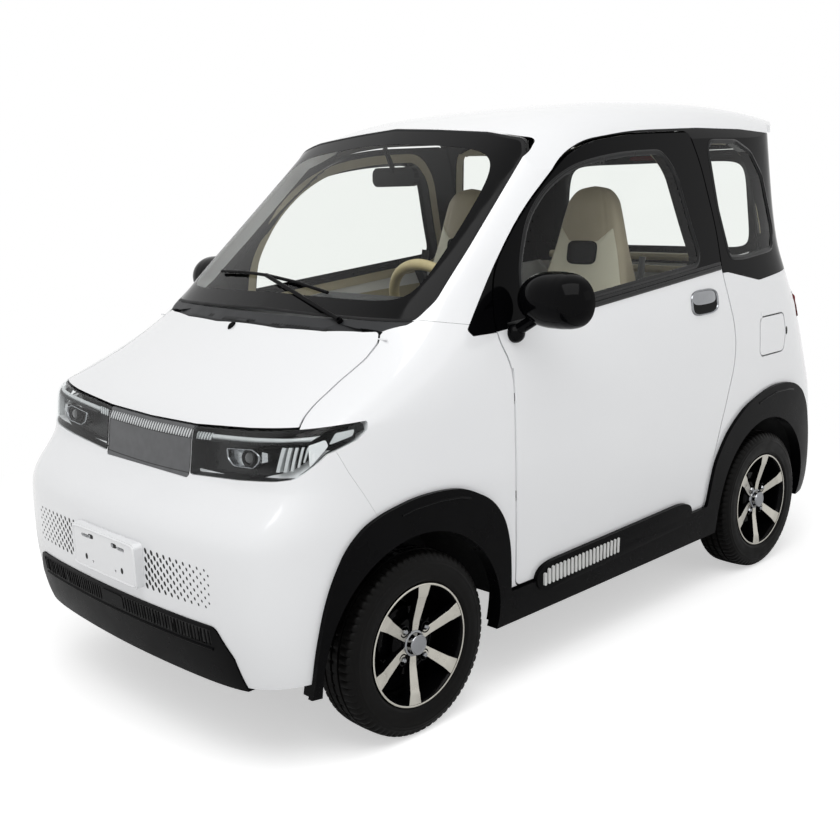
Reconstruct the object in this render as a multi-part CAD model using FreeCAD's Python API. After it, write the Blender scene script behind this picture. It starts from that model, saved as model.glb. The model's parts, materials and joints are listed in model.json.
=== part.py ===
import FreeCAD, Part
import math
import os
from FreeCAD import Vector

# A two seat electric microcar. Sizes are millimetres, +Z is up, the ground is z 0,
# the car faces -Y and its left side is +X. The origin lies under the middle of its box.

# Overall and running gear
WHEELBASE = 1766.0
AXLE_Z = 254.0
TRACK_HALF = 598.0
TYRE_R = 254.0
TYRE_WIDTH = 145.0
RIM_R = 169.0
RIM_SEAT_R = 158.0
RIM_HALF = 62.0
RIM_FACE = 67.0
SPOKES = 6
DISC_R = 104.0
SPINDLE_R = 20.0
FIT = 0.05
SEAT = 0.3
GAP = 5.5
SEAM = 0.8

# Panels
DOOR_WALL = 46.0
DOOR_LIP = 14.0
DOOR_STEP = 7.0
DOOR_PIN = 4.0
QUARTER_WALL = 46.0
PILLAR_WALL = 42.0
SKIN = 26.0
HOOD_WALL = 34.0
ROOF_WALL = 30.0
GLASS = 5.0
GLASS_DEPTH = 3.0
CLADDING = 13.0
ARCH_R = 312.0
ARCH_LIP = 17.0
SILL_LOW = 202.0
SILL_TOP = 303.0
DOOR_LOW = 311.0
BELT_Z = 1113.0
BELT_RISE = 0.075
BODY_LOW = 170.0
BODY_TOP = 1770.0

# Joints
DOOR_HINGE = Vector(661, -478, 0)
DOOR_STRAPS = (580.0, 860.0)
HOOD_HINGE = Vector(0, -850, 1058)
GATE_HINGE = Vector(0, 1138, 1552)
HOOD_OPEN = 40.0
GATE_CROWN = 13.0
FLAP_HINGE = Vector(667, 842, 0)
KING_LOW = Vector(545, -WHEELBASE / 2, 170)
KING_TOP = Vector(470, -WHEELBASE / 2, 620)
COLUMN = Vector(0, math.cos(math.radians(26)), math.sin(math.radians(26)))
WHEEL_HUB = Vector(290, -400, 1056)
WHEEL_RIM_R = 178.0

FRONT_Y = -WHEELBASE / 2
REAR_Y = WHEELBASE / 2
FAR = 2000.0

# Plan sections of the body: height, front, rear, half width, then for the nose how square
# it is, how far it bows and how far its corners lift, and for the tail how square and bowed
SECTIONS = [
    (170, -1350, 1385, 640, 10.0, 50, 0, 11.0, 34),
    (240, -1376, 1400, 655, 11.0, 48, 0, 12.0, 32),
    (320, -1393, 1412, 664, 11.0, 46, 0, 12.0, 30),
    (400, -1403, 1418, 668, 11.0, 44, 0, 12.0, 30),
    (560, -1398, 1410, 672, 11.0, 40, 0, 12.0, 32),
    (615, -1388, 1400, 673, 11.5, 38, 4, 12.0, 34),
    (660, -1350, 1388, 674, 12.0, 30, 10, 12.0, 36),
    (718, -1270, 1366, 674, 14.0, 10, 20, 12.0, 40),
    (850, -1244, 1318, 674, 14.0, 10, 24, 12.0, 44),
    (890, -1194, 1302, 673, 12.0, 20, 14, 12.0, 46),
    (960, -1072, 1272, 670, 10.0, 50, 4, 12.0, 48),
    (1030, -962, 1236, 664, 9.0, 75, 0, 11.0, 42),
    (1075, -900, 1212, 657, 9.0, 84, 0, 11.0, 36),
    (1200, -756, 1166, 637, 9.5, 80, 0, 10.0, 24),
    (1350, -585, 1152, 614, 9.5, 80, 0, 10.0, 22),
    (1500, -414, 1154, 591, 9.5, 76, 0, 10.0, 22),
    (1585, -317, 1156, 578, 9.5, 72, 0, 10.0, 22),
    (1770, -106, 1158, 552, 9.5, 70, 0, 10.0, 22),
]
ROWS = [170, 205, 240, 280, 320, 360, 400, 450, 500, 560, 590, 615, 640, 660, 690, 718, 740, 780,
        820, 850, 870, 890, 925, 960, 995, 1030, 1055, 1075, 1110, 1150, 1200, 1275, 1350, 1425,
        1500, 1545, 1585, 1640, 1700, 1770]
QUARTER_TURN = [0, 2, 8, 16, 24, 30, 35, 39, 42, 45, 48, 51, 55, 60, 68, 78]
HALF_TURN = QUARTER_TURN + [90] + [180 - a for a in reversed(QUARTER_TURN)]

# Roof: height of its centre line along the car, and how it falls to the sides
ROOF_LINE = [(-700, 1430), (-400, 1550), (-254, 1603), (-100, 1648), (100, 1682), (400, 1701),
             (700, 1701), (1000, 1688), (1250, 1655), (1500, 1605)]
ROOF_HALF = 575.0
ROOF_CROWN = 15.0
ROOF_SHOULDER = 112.0


def slopes(xs, ys):
    """End slopes of a smooth curve that never overshoots its points."""
    count = len(xs)
    steps = [(ys[i + 1] - ys[i]) / (xs[i + 1] - xs[i]) for i in range(count - 1)]
    result = [steps[0]] + [0.0] * (count - 2) + [steps[-1]]
    for i in range(1, count - 1):
        if steps[i - 1] * steps[i] > 0:
            before = 2 * (xs[i + 1] - xs[i]) + (xs[i] - xs[i - 1])
            after = (xs[i + 1] - xs[i]) + 2 * (xs[i] - xs[i - 1])
            result[i] = (before + after) / (before / steps[i - 1] + after / steps[i])
    return result


def curve_at(xs, ys, ms, x):
    """Value of the smooth curve at x."""
    x = min(max(x, xs[0]), xs[-1])
    i = max(j for j in range(len(xs) - 1) if xs[j] <= x)
    h = xs[i + 1] - xs[i]
    t = (x - xs[i]) / h
    low = (2 * t ** 3 - 3 * t * t + 1) * ys[i] + (t ** 3 - 2 * t * t + t) * h * ms[i]
    high = (3 * t * t - 2 * t ** 3) * ys[i + 1] + (t ** 3 - t * t) * h * ms[i + 1]
    return low + high


HEIGHTS = [section[0] for section in SECTIONS]
TRAITS = [[section[k] for section in SECTIONS] for k in range(1, 9)]
TRAIT_SLOPES = [slopes(HEIGHTS, trait) for trait in TRAITS]
ROOF_YS = [place for place, height in ROOF_LINE]
ROOF_ZS = [height for place, height in ROOF_LINE]
ROOF_SLOPES = slopes(ROOF_YS, ROOF_ZS)


def section_at(z):
    """The eight traits of the plan section at one height."""
    return [curve_at(HEIGHTS, TRAITS[k], TRAIT_SLOPES[k], z) for k in range(8)]


def body_point(turn, z, inset):
    """A point of the body skin, or of the skin moved inwards, at an angle round its plan."""
    front, rear, half, n_front, bow_front, lift, n_rear, bow_rear = section_at(z)
    front += inset
    rear -= inset
    half -= inset
    middle = (front + rear) / 2
    reach = (rear - front) / 2
    nose = math.cos(turn) > 0
    power = n_front if nose else n_rear
    bow = bow_front if nose else bow_rear
    s = math.sin(turn)
    c = abs(math.cos(turn))
    q = (abs(s) ** power + c ** power) ** (-1 / power)
    across = q * s
    along = q * c
    x = (half - 10 * along * along) * across
    y = (reach - bow * across * across) * along
    rise = lift * across * across * along * along if nose else 0.0
    return Vector(x, middle - y if nose else middle + y, z + rise)


def roof_z(x, y):
    """Height of the roof above one point of the plan."""
    share = abs(x) / ROOF_HALF
    centre = curve_at(ROOF_YS, ROOF_ZS, ROOF_SLOPES, y)
    return centre - ROOF_CROWN * share ** 2 - ROOF_SHOULDER * min(share, 1.3) ** 8


def smooth_surface(grid):
    """A cubic surface that a grid of poles pulls into shape, so it can't ripple."""
    def knots(count):
        spans = count - 3
        return [4] + [1] * (spans - 1) + [4], list(range(spans + 1))

    u_mults, u_knots = knots(len(grid))
    v_mults, v_knots = knots(len(grid[0]))
    surface = Part.BSplineSurface()
    surface.buildFromPolesMultsKnots(grid, u_mults, v_mults, u_knots, v_knots, False, False, 3, 3)
    return surface.toShape()


def closed(faces):
    """One solid from faces that meet at their edges."""
    shell = Part.makeCompound(faces)
    shell.sewShape()
    return Part.Solid(shell.Shells[0])


def end_loop(faces, z):
    """The loop that a stack of faces leaves open at one height."""
    edges = []
    for face in faces:
        for edge in face.Edges:
            box = edge.BoundBox
            if abs(box.ZMin - z) < 0.01 and abs(box.ZMax - z) < 0.01:
                edges.append(edge)
    return Part.Face(Part.Wire(Part.__sortEdges__(edges)))


def stack(inset):
    """The whole body below its roof as one solid, moved inwards by inset."""
    faces = []
    for side in (1, -1):
        grid = [[body_point(side * math.radians(a), z, inset) for z in ROWS] for a in HALF_TURN]
        faces.append(smooth_surface(grid))
    faces.append(end_loop(faces[:2], BODY_LOW))
    faces.append(end_loop(faces[:2], BODY_TOP))
    return closed(faces)


def roof_surface(drop):
    """The roof surface, lowered by drop."""
    xs = [-700, -640, -600, -570, -540, -500, -450, -380, -280, -150, 0]
    xs = xs + [-x for x in reversed(xs[:-1])]
    ys = [-700, -550, -400, -300, -200, -100, 0, 150, 300, 500, 700, 900, 1100, 1250, 1400]
    grid = [[Vector(x, y, roof_z(x, y) - drop) for y in ys] for x in xs]
    return smooth_surface(grid)


def under_roof(drop):
    """Everything below the roof surface, lowered by drop."""
    return roof_surface(drop).extrude(Vector(0, 0, -FAR))


def above_roof(drop):
    """Everything above the roof surface, lowered by drop."""
    return roof_surface(drop).extrude(Vector(0, 0, FAR))


BODIES = {}


def body(inset):
    """The body solid under its roof, moved inwards by inset, made once for each inset."""
    if inset not in BODIES:
        BODIES[inset] = stack(inset).cut(above_roof(max(inset, 0.0)))
    return BODIES[inset]


STACKS = {}


def side_body(inset):
    """The body solid without its roof, moved inwards by inset, made once for each inset."""
    if inset not in STACKS:
        STACKS[inset] = stack(inset)
    return STACKS[inset]


def wall(outer, inner, region=None):
    """The part of a region between two insets of the body, below the roof."""
    if region is None:
        return side_body(outer).cut(side_body(inner))
    return region.common(side_body(outer)).cut(side_body(inner))


def roofed_wall(outer, inner):
    """The shell between two insets of the body with its roof."""
    return body(outer).cut(body(inner))


CORNER_ROOM = 0.45
SOFT = 2000


def rounded(points):
    """Edges of a closed outline in its own plane; a point's third number rounds its corner, as far as there is room."""
    count = len(points)
    starts = []
    ends = []
    arcs = []
    for i in range(count):
        here = Vector(points[i][0], points[i][1], 0)
        radius = points[i][2] if len(points[i]) > 2 else 0
        if radius == 0:
            starts.append(here)
            ends.append(here)
            arcs.append(None)
            continue
        to_last = Vector(points[i - 1][0], points[i - 1][1], 0).sub(here).normalize()
        to_next = Vector(points[(i + 1) % count][0], points[(i + 1) % count][1], 0).sub(here).normalize()
        half = to_last.getAngle(to_next) / 2
        room = CORNER_ROOM * min(here.distanceToPoint(Vector(points[i - 1][0], points[i - 1][1], 0)),
                                 here.distanceToPoint(Vector(*points[(i + 1) % count][:2], 0)))
        reach = min(radius / math.tan(half), room)
        radius = reach * math.tan(half)
        bisector = to_last.add(to_next).normalize()
        middle = here.add(bisector * (radius / math.sin(half) - radius))
        starts.append(here.add(to_last * reach))
        ends.append(here.add(to_next * reach))
        arcs.append(middle)
    edges = []
    for i in range(count):
        if arcs[i] is not None:
            edges.append(Part.Arc(starts[i], arcs[i], ends[i]).toShape())
        if ends[i].distanceToPoint(starts[(i + 1) % count]) > 1e-4:
            edges.append(Part.LineSegment(ends[i], starts[(i + 1) % count]).toShape())
    return edges


def stand(shape, axis):
    """Turn a shape drawn in the XY plane and raised along Z so that it is raised along an axis."""
    if axis == "x":
        placement = FreeCAD.Placement(FreeCAD.Matrix(0, 0, 1, 0, 1, 0, 0, 0, 0, 1, 0, 0, 0, 0, 0, 1))
    elif axis == "y":
        placement = FreeCAD.Placement(FreeCAD.Matrix(1, 0, 0, 0, 0, 0, -1, 0, 0, 1, 0, 0, 0, 0, 0, 1))
    else:
        return shape
    moved = shape.copy()
    moved.Placement = placement
    return moved


def prism(axis, points, low, high, grow=0.0):
    """A prism along x, y or z over an outline, its outline grown by grow."""
    outline = Part.Wire(rounded(points))
    if grow:
        outline = outline.makeOffset2D(grow)
    if axis == "y":
        low, high = -high, -low
    outline.translate(Vector(0, 0, low))
    return stand(Part.Face(outline).extrude(Vector(0, 0, high - low)), axis)


def block(x0, x1, y0, y1, z0, z1):
    """A box between two corners."""
    return Part.makeBox(x1 - x0, y1 - y0, z1 - z0, Vector(x0, y0, z0))


def rod(start, end, radius):
    """A round bar between two points."""
    way = end.sub(start)
    return Part.makeCylinder(radius, way.Length, start, way)


def tube(start, end, radius, bore):
    """A round bar with a hole along it."""
    return rod(start, end, radius).cut(rod(start, end, bore))


def mirrored(shape):
    """The same shape on the other side of the car."""
    return shape.mirror(Vector(0, 0, 0), Vector(1, 0, 0))


def both(shape):
    """The shape and its mirror image as one node."""
    return Part.makeCompound([shape, mirrored(shape)])


def joined(shapes):
    """Shapes fused to one solid."""
    result = shapes[0].multiFuse(shapes[1:])
    return result.removeSplitter()


def largest(shape):
    """The largest solid of a cut, so that no crumb stays."""
    return max(shape.Solids, key=lambda solid: solid.Volume)


def export(name, shape):
    """Write one node."""
    solids = shape.Solids
    good = all(solid.isValid() for solid in solids)
    volume = sum(solid.Volume for solid in solids)
    print(name, len(solids), "solids", round(volume / 1e6, 3), "litres", "" if good else "NOT VALID")
    shape.exportStep("parts/" + name + ".step")


# Outlines in the side view, y then z
DOOR_REAR = [(480, 311), (512, 409, SOFT), (570, 576, SOFT), (623, 709, SOFT), (655, 790, SOFT),
             (663, 860, SOFT), (655, 930, SOFT), (622, 1030, SOFT), (602, 1113, SOFT)]
DOOR_OUTLINE = [(-495, 311, 20)] + [(480, 311, 30)] + DOOR_REAR[1:] + [
    (594, 1262, SOFT), (540, 1480, SOFT), (492, 1580, 20), (147, 1574, SOFT), (-38, 1552, SOFT),
    (-159, 1508, SOFT), (-369, 1356, SOFT), (-520, 1206, SOFT), (-549, 1049, SOFT), (-495, 945, SOFT)]
DOOR_GLASS = [(-425, 1081), (-424, 1202, SOFT), (-352, 1347, SOFT), (-246, 1433, SOFT), (-137, 1481, SOFT),
              (-33, 1501, SOFT), (119, 1518, SOFT), (325, 1523, 60), (392, 1454, 120), (448, 1272, SOFT),
              (491, 1150, 30)]
QUARTER_GLASS = [(665, 1163, 20), (622, 1330), (600, 1549, 25), (781, 1548, 40), (877, 1510, 50),
                 (949, 1426, 60), (999, 1240, 60), (972, 1172, 25), (749, 1157)]
FLARE_FRONT = [(-1218, 202), (-1214, 325, SOFT), (-1192, 430, SOFT), (-1165, 504, SOFT), (-1120, 581, SOFT),
               (-1064, 627, SOFT), (-1004, 648, SOFT), (-901, 666, SOFT), (-810, 667, SOFT), (-716, 655, SOFT),
               (-608, 599, SOFT), (-556, 532, SOFT), (-534, 451, SOFT), (-527, 303, 12), (496, 319, 12),
               (518, 405, SOFT), (540, 469, SOFT), (610, 558, SOFT), (718, 632, SOFT), (858, 670, SOFT),
               (940, 682, SOFT), (1037, 677, SOFT), (1100, 660, SOFT), (1162, 625, SOFT), (1210, 560, SOFT),
               (1240, 455, SOFT), (1262, 283, SOFT), (1270, 202)]
SEAM_FRONT = [(-1124, 829), (-1093, 770), (-1046, 696), (-1016, 646)]
REAR_SEAM = [(1150, 200), (1150, 470), (1262, 640), (1500, 640)]
TRIANGLE = [(-645, 1066, 6), (-631, 1049, 6), (-530, 1049), (-500, 1240)]


def cylinder_x(y, z, radius, x0=-FAR, x1=FAR):
    """A cylinder across the car."""
    return Part.makeCylinder(radius, x1 - x0, Vector(x0, y, z), Vector(1, 0, 0))


def door_region(grow=0.0):
    """The prism that the left door fills."""
    return prism("x", DOOR_OUTLINE, 300, FAR, grow)


# Plan outlines of the hood and the cowl, and front outlines of the lamps and the panel between them
HOOD_REAR = [(500, -838, 14), (458, -855, 60), (328, -886, 150), (150, -905, 200)]
HOOD_SIDE = [(600, -1320), (590, -1200, 60), (556, -1147, 100), (540, -1100, 300), (527, -1003, 300),
             (529, -916, 150), (520, -862, 30)]
COWL_END = [(576, -735), (553, -786, 30), (517, -822, 30), (500, -842), (458, -875), (300, -925)]
LAMP_TOP = [(0, 851), (214, 855), (437, 871), (587, 885), (640, 889), (700, 890)]
LAMP_FRONT = [(214, 731, 10), (419, 748, 200), (557, 764, 60), (606, 773, 20), (700, 790), (700, 890),
              (640, 889), (587, 885), (437, 871, 200), (214, 855, 4)]
LAMP_SIDE = [(-1500, 600), (-1262, 700), (-1222, 770, 20), (-1176, 803, 20), (-1146, 826, 10),
             (-1066, 848, 10), (-1034, 868, 8), (-1026, 890, 6), (-1104, 894, 20), (-1500, 894)]
PANEL_FRONT = [(-212, 722, 10), (212, 722, 10), (212, 855, 4), (0, 851), (-212, 855, 4)]


def flipped(points):
    """The same outline points on the other side, in reverse order."""
    return [(-point[0],) + tuple(point[1:]) for point in reversed(points)]


HOOD_OUTLINE = HOOD_SIDE + HOOD_REAR + flipped(HOOD_REAR) + flipped(HOOD_SIDE)
COWL_OUTLINE = COWL_END + flipped(COWL_END)


def lamp_region(grow=0.0):
    """The space of the left lamp."""
    front = prism("y", LAMP_FRONT, -1500, -900, grow)
    side = prism("x", LAMP_SIDE, 100, FAR, grow)
    return front.common(side)


def panel_region(grow=0.0):
    """The space of the dark panel between the lamps."""
    return prism("y", PANEL_FRONT, -1500, -1100, grow)


def hood_region(grow=0.0):
    """The space of the hood."""
    line = [(x, z + GAP) for x, z in LAMP_TOP]
    front = flipped(line[1:]) + line + [(700, 1400), (-700, 1400)]
    above = prism("y", front, -1500, -700, grow)
    return prism("z", HOOD_OUTLINE, 800, 1300, grow).common(above)


def hood_sweep():
    """The room that the hood's left rear corner swings through."""
    return rod(Vector(440, HOOD_HINGE.y, HOOD_HINGE.z), Vector(511, HOOD_HINGE.y, HOOD_HINGE.z), 23.0)


def opened_hood(angle):
    """The room of the hood, a little larger all round, when it is open by an angle in degrees."""
    room = wall(-4.0, 20.0, hood_region(GAP - 1.0))
    room.rotate(HOOD_HINGE, Vector(-1, 0, 0), angle)
    return room


def cowl_region(grow=0.0):
    """The space of the cowl strip and the windscreen's foot."""
    return prism("z", COWL_OUTLINE, 1030, 1099 + grow, grow)


def triangle_region(grow=0.0):
    """The space of the fixed dark triangle ahead of the left door."""
    return prism("x", TRIANGLE, 300, FAR, grow)


def cabin_top(grow=0.0):
    """The space of the roof and the front pillars, in the side view."""
    line = [(-1000, 1144), (-634, 1080), (-518, 1216, SOFT), (-367, 1366, SOFT), (-158, 1518, SOFT),
            (-38, 1561, SOFT), (203, 1588, SOFT), (571, 1596), (848, 1592), (951, 1585, 60), (1060, 1578),
            (1400, 1574),
            (1400, 1900), (-1000, 1900)]
    return prism("x", line, -FAR, FAR, grow)


SCREEN_SIDE = [(562, 1096, 20), (575, 1147, 60), (563, 1270), (546, 1403), (531, 1527, 60), (506, 1568, 40),
               (393, 1591, 200), (203, 1607, 300)]
WINDSCREEN_FRONT = [(0, 1108)] + SCREEN_SIDE + [(0, 1620, 300)] + flipped(SCREEN_SIDE)
GATE_FRONT = [(-520, 640, 60), (520, 640, 60), (540, 800, 60), (515, 900, 60), (520, 1010, 60),
              (556, 1090, 60), (520, 1560, 30), (-520, 1560, 30),
              (-556, 1090, 60), (-520, 1010, 60), (-515, 900, 60), (-540, 800, 60)]
GATE_GLASS = [(-488, 1112, 50), (488, 1112, 50), (458, 1530, 50), (-458, 1530, 50)]
GATE_SPLIT = 1086.0
TAIL_LAMP = [(500, 905), (700, 905), (700, 1004), (500, 1004)]


def screen_region(grow=0.0):
    """The space of the windscreen."""
    return prism("y", WINDSCREEN_FRONT, -1000, -100, grow)


def gate_region(grow=0.0):
    """The space of the tailgate."""
    return prism("y", GATE_FRONT, 900, FAR, grow)


def make_doors():
    """Panel, window frame and glass of the left door; its inner part is stepped so that it swings clear."""
    shell = wall(0.0, DOOR_WALL, door_region())
    step = door_region().cut(door_region(-DOOR_STEP)).common(side_body(DOOR_LIP))
    shell = shell.cut(step)
    corner = block(DOOR_HINGE.x, 700, -540, DOOR_HINGE.y, 300, 945)
    corner = corner.cut(rod(Vector(DOOR_HINGE.x, DOOR_HINGE.y, 290), Vector(DOOR_HINGE.x, DOOR_HINGE.y, 960), 17.0))
    shell = shell.cut(corner)
    for z in DOOR_STRAPS:
        shell = shell.cut(block(600, 668, -540, -464, z - 15.5, z + 15.5))
        shell = shell.cut(rod(Vector(DOOR_HINGE.x, DOOR_HINGE.y, z - 27), Vector(DOOR_HINGE.x, DOOR_HINGE.y, z + 27),
                              DOOR_PIN + FIT))
    below = prism("x", [(-700, 200), (800, 200), (800, BELT_Z + BELT_RISE * 800 - 22),
                        (-700, BELT_Z - BELT_RISE * 700 - 22)], 300, FAR)
    panel = largest(shell.common(below))
    opening = prism("x", DOOR_GLASS, 300, FAR)
    frame = largest(shell.cut(below).cut(opening))
    glass_shape = prism("x", DOOR_GLASS, 300, FAR, -SEAT)
    glass = largest(wall(GLASS_DEPTH, GLASS_DEPTH + GLASS, glass_shape))
    return panel, frame, glass


def make_hinge_posts():
    """Left door post inside the fender, with its two hinge straps and their pins."""
    post = block(592, 700, -542, -506, 303.3, 930).common(side_body(SKIN + SEAT))
    x, y = DOOR_HINGE.x, DOOR_HINGE.y
    parts = [post, block(560, 600, -530, -506, 300.3, 340)]
    for z in DOOR_STRAPS:
        parts.append(block(596, 610, -515, y + 6, z - 10, z + 10))
        parts.append(block(596, x, y - 6, y + 6, z - 10, z + 10))
        parts.append(rod(Vector(x, y, z - 10), Vector(x, y, z + 10), 6))
        parts.append(rod(Vector(x, y, z - 26), Vector(x, y, z + 26), DOOR_PIN))
    return joined(parts)


def make_mirror():
    """Mirror housing on its short stalk, left side."""
    profile = [(668, 0), (668, 34, 16), (700, 66, 30), (780, 77, 60), (862, 74, 40), (908, 46, 30), (910, 0)]
    face = Part.Face(Part.Wire(rounded(profile)))
    head = face.revolve(Vector(0, 0, 0), Vector(1, 0, 0), 360)
    head.translate(Vector(0, -446, 1134))
    head = head.cut(block(600, 1000, -446, -300, 1000, 1300))
    stalk = rod(Vector(640, -480, 1034), Vector(744, -474, 1092), 19)
    foot = Part.makeSphere(29, Vector(664, -480, 1040))
    return largest(joined([head, stalk, foot]).cut(body(-SEAT)))


def make_fenders():
    """Left front fender."""
    side = prism("x", [(-1230, 1000), (-1230, 862), (-1150, 836)] + SEAM_FRONT + [
        (-1000, 560), (-1000, 310), (-470, 310), (-470, 1079.2), (-634, 1079.2), (-1000, 1143.2)], 300, FAR)
    shell = wall(0.0, SKIN, side)
    shell = shell.cut(door_region(GAP)).cut(triangle_region(SEAM))
    shell = shell.cut(cylinder_x(FRONT_Y, AXLE_Z, ARCH_R + ARCH_LIP + SEAT))
    shell = shell.cut(hood_region(GAP)).cut(lamp_region(SEAM)).cut(cowl_region(SEAM))
    shell = largest(shell.cut(hood_sweep()).cut(screen_region(SEAT)))
    y, z = HOOD_HINGE.y, HOOD_HINGE.z
    return joined([shell, rod(Vector(486, y, z), Vector(545, y, z), 2.5)])


def make_bumper():
    """Front bumper skin."""
    seam = [(y - SEAM, z) for y, z in reversed(SEAM_FRONT)]
    region = prism("x", [(-1500, 246), (-1000 - SEAM, 246), (-1000 - SEAM, 560)] + seam + [
        (-1150, 836), (-1230, 858), (-1500, 858)], -FAR, FAR)
    shell = wall(0.0, SKIN, region)
    shell = shell.cut(lamp_region(SEAM)).cut(mirrored(lamp_region(SEAM))).cut(panel_region(SEAM))
    shell = shell.cut(grille_region(SEAM)).cut(cylinder_x(FRONT_Y, AXLE_Z, ARCH_R + ARCH_LIP + SEAT))
    return largest(shell.cut(block(-FAR, FAR, -FAR, 0, 846, FAR)))


GRILLE_FRONT = [(-520, 200), (520, 200), (500, 330, 40), (455, 404, 30), (-455, 404, 30), (-500, 330, 40)]


def grille_region(grow=0.0):
    """The space of the dark lower grille."""
    return prism("y", GRILLE_FRONT, -1500, -1150, grow)


def make_grille():
    """Dark lower grille with upright slots each side of its plain middle."""
    shell = wall(-4.0, SKIN, grille_region()).common(block(-FAR, FAR, -FAR, FAR, 236, FAR))
    slots = []
    for side in (-1, 1):
        for i in range(14):
            x = side * (120 + 22 * i)
            slots.append(block(x - 7, x + 7, -1500, -1200, 352, 390))
    return largest(shell.cut(Part.makeCompound(slots)))


def make_cladding():
    """Left wheel arch flares and the sill between them."""
    outline = prism("x", FLARE_FRONT, 400, FAR)
    outer = body(-CLADDING).cut(body(-SEAT)).common(outline)
    lips = []
    for y in (FRONT_Y, REAR_Y):
        ring = cylinder_x(y, AXLE_Z, ARCH_R + ARCH_LIP, 400, FAR)
        lips.append(body(-CLADDING).cut(body(SKIN)).common(ring).common(block(400, FAR, y - 400, y + 400, 202, FAR)))
    low = prism("x", [(-541, 202), (499, 202), (499, SILL_TOP), (-541, SILL_TOP)], 400, FAR)
    lips.append(body(-CLADDING).cut(body(60.0)).common(low))
    shape = joined([outer] + lips)
    for y in (FRONT_Y, REAR_Y):
        shape = shape.cut(cylinder_x(y, AXLE_Z, ARCH_R))
    return largest(shape)


def make_quarter(flap):
    """Left rear quarter panel up to the belt, with the pocket and pins of its flap where it has one."""
    side = prism("x", [(500, 311)] + [(1150, 311)] + REAR_SEAM[1:] + [
        (1500, 1110), (1170, 1100), (1058, 1086.2, 60), (843, 1069.2, 80), (640, 1113.2), (560, 1113.2)], 300, FAR)
    shell = wall(0.0, QUARTER_WALL, side)
    shell = shell.cut(door_region(GAP)).cut(gate_region(GAP))
    shell = shell.cut(cylinder_x(REAR_Y, AXLE_Z, ARCH_R + ARCH_LIP + SEAT))
    shell = shell.cut(prism("y", TAIL_LAMP, 1150, FAR, SEAM))
    if flap:
        shell = shell.cut(wall(-5.0, QUARTER_WALL - 8, flap_region(GAP)))
        x, y = FLAP_HINGE.x, FLAP_HINGE.y
        for low, high in ((780, 812), (923, 955)):
            shell = shell.fuse(rod(Vector(x, y, low), Vector(x, y, high), 2.0))
    return largest(shell)


FLAP = [(835, 800, 22), (1008, 800, 22), (1024, 866, 60), (1008, 935, 22), (835, 935, 22)]


def flap_region(grow=0.0):
    """The space of the charging flap."""
    return prism("x", FLAP, 500, FAR, grow)


def make_flap():
    """Charging flap with the holes of its two hinge pins."""
    x, y = FLAP_HINGE.x, FLAP_HINGE.y
    shell = wall(0.0, 11.0, flap_region())
    corner = block(x, 700, 820, y, 780, 960).cut(rod(Vector(x, y, 770), Vector(x, y, 970), 7.0))
    shell = shell.cut(corner).cut(rod(Vector(x, y, 790), Vector(x, y, 813), 2.0 + FIT))
    return largest(shell.cut(rod(Vector(x, y, 922), Vector(x, y, 945), 2.0 + FIT)))


def make_rear_bumper():
    """Rear bumper skin."""
    region = prism("x", [(1500, 240), (1150 + SEAM, 240), (1150 + SEAM, 469.6), (1262.4, 640 - SEAM),
                         (1500, 640 - SEAM)], -FAR, FAR)
    shell = wall(0.0, SKIN, region).cut(gate_region(GAP))
    return largest(shell.cut(cylinder_x(REAR_Y, AXLE_Z, ARCH_R + ARCH_LIP + SEAT)))


def make_pillars():
    """Dark pillars and quarter window surrounds, tied by the roof lining, and the fixed front triangles."""
    belt = prism("x", [(560, 1114), (640, 1114), (843, 1070, 80), (1058, 1087, 60), (1170, 1100.8),
                       (1500, 1110.8), (1500, 1900), (-1100, 1900), (-1100, 1090), (560, 1090)], -FAR, FAR)
    shell = roofed_wall(0.0, PILLAR_WALL).common(belt)
    shell = shell.cut(cabin_top(SEAM)).cut(gate_region(GAP)).cut(screen_region(SEAT)).cut(cowl_region(SEAM))
    ahead = [(-1100, 1000), (-634 - SEAM, 1000), (-634 - SEAM, 1081), (-1100, 1162.4)]
    shell = shell.cut(prism("x", ahead, -FAR, FAR))
    lining = roofed_wall(ROOF_WALL + SEAT, PILLAR_WALL).common(cabin_top(SEAM + 1))
    lining = lining.cut(screen_region(SEAT)).cut(gate_region(GAP)).cut(cowl_region(SEAM))
    shell = shell.fuse(lining)
    opening = prism("x", QUARTER_GLASS, 300, FAR)
    for cutter in (door_region(GAP), opening):
        shell = shell.cut(cutter).cut(mirrored(cutter))
    x, y, z = 306, GATE_HINGE.y, GATE_HINGE.z
    shell = largest(shell.cut(rod(Vector(-430, y, z), Vector(430, y, z), GATE_CROWN + GAP)))
    parts = [shell]
    for side in (-1, 1):
        parts.append(block(side * x - 10, side * x + 10, y - 12, y + 8, z - 6, z + 23))
        parts.append(rod(Vector(side * x - 26, y, z), Vector(side * x + 26, y, z), 4.0))
    shell = joined(parts)
    corner = wall(0.0, SKIN, triangle_region()).cut(door_region(GAP)).cut(cabin_top(SEAM))
    corner = largest(corner)
    return Part.makeCompound([shell, corner, mirrored(corner)])


def make_quarter_glass():
    """Left quarter window."""
    shape = prism("x", QUARTER_GLASS, 300, FAR, -SEAT)
    return largest(wall(GLASS_DEPTH, GLASS_DEPTH + GLASS, shape))


def make_roof():
    """Roof panel with its overhang over the tailgate and the front pillars."""
    shell = roofed_wall(0.0, ROOF_WALL).common(cabin_top())
    plan = prism("z", [(-520, 1050, 10), (520, 1050, 10), (520, 1130, 60), (470, 1205, 90), (400, 1256, 90),
                      (-400, 1256, 90), (-470, 1205, 90), (-520, 1130, 60)], 1500, 1800)
    overhang = plan.cut(above_roof(0.0)).cut(under_roof(26.0))
    shell = shell.fuse(overhang)
    shell = shell.cut(screen_region(SEAT)).cut(cowl_region(SEAM)).cut(gate_region(GAP))
    return largest(shell.cut(door_region(GAP)).cut(mirrored(door_region(GAP))))


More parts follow.
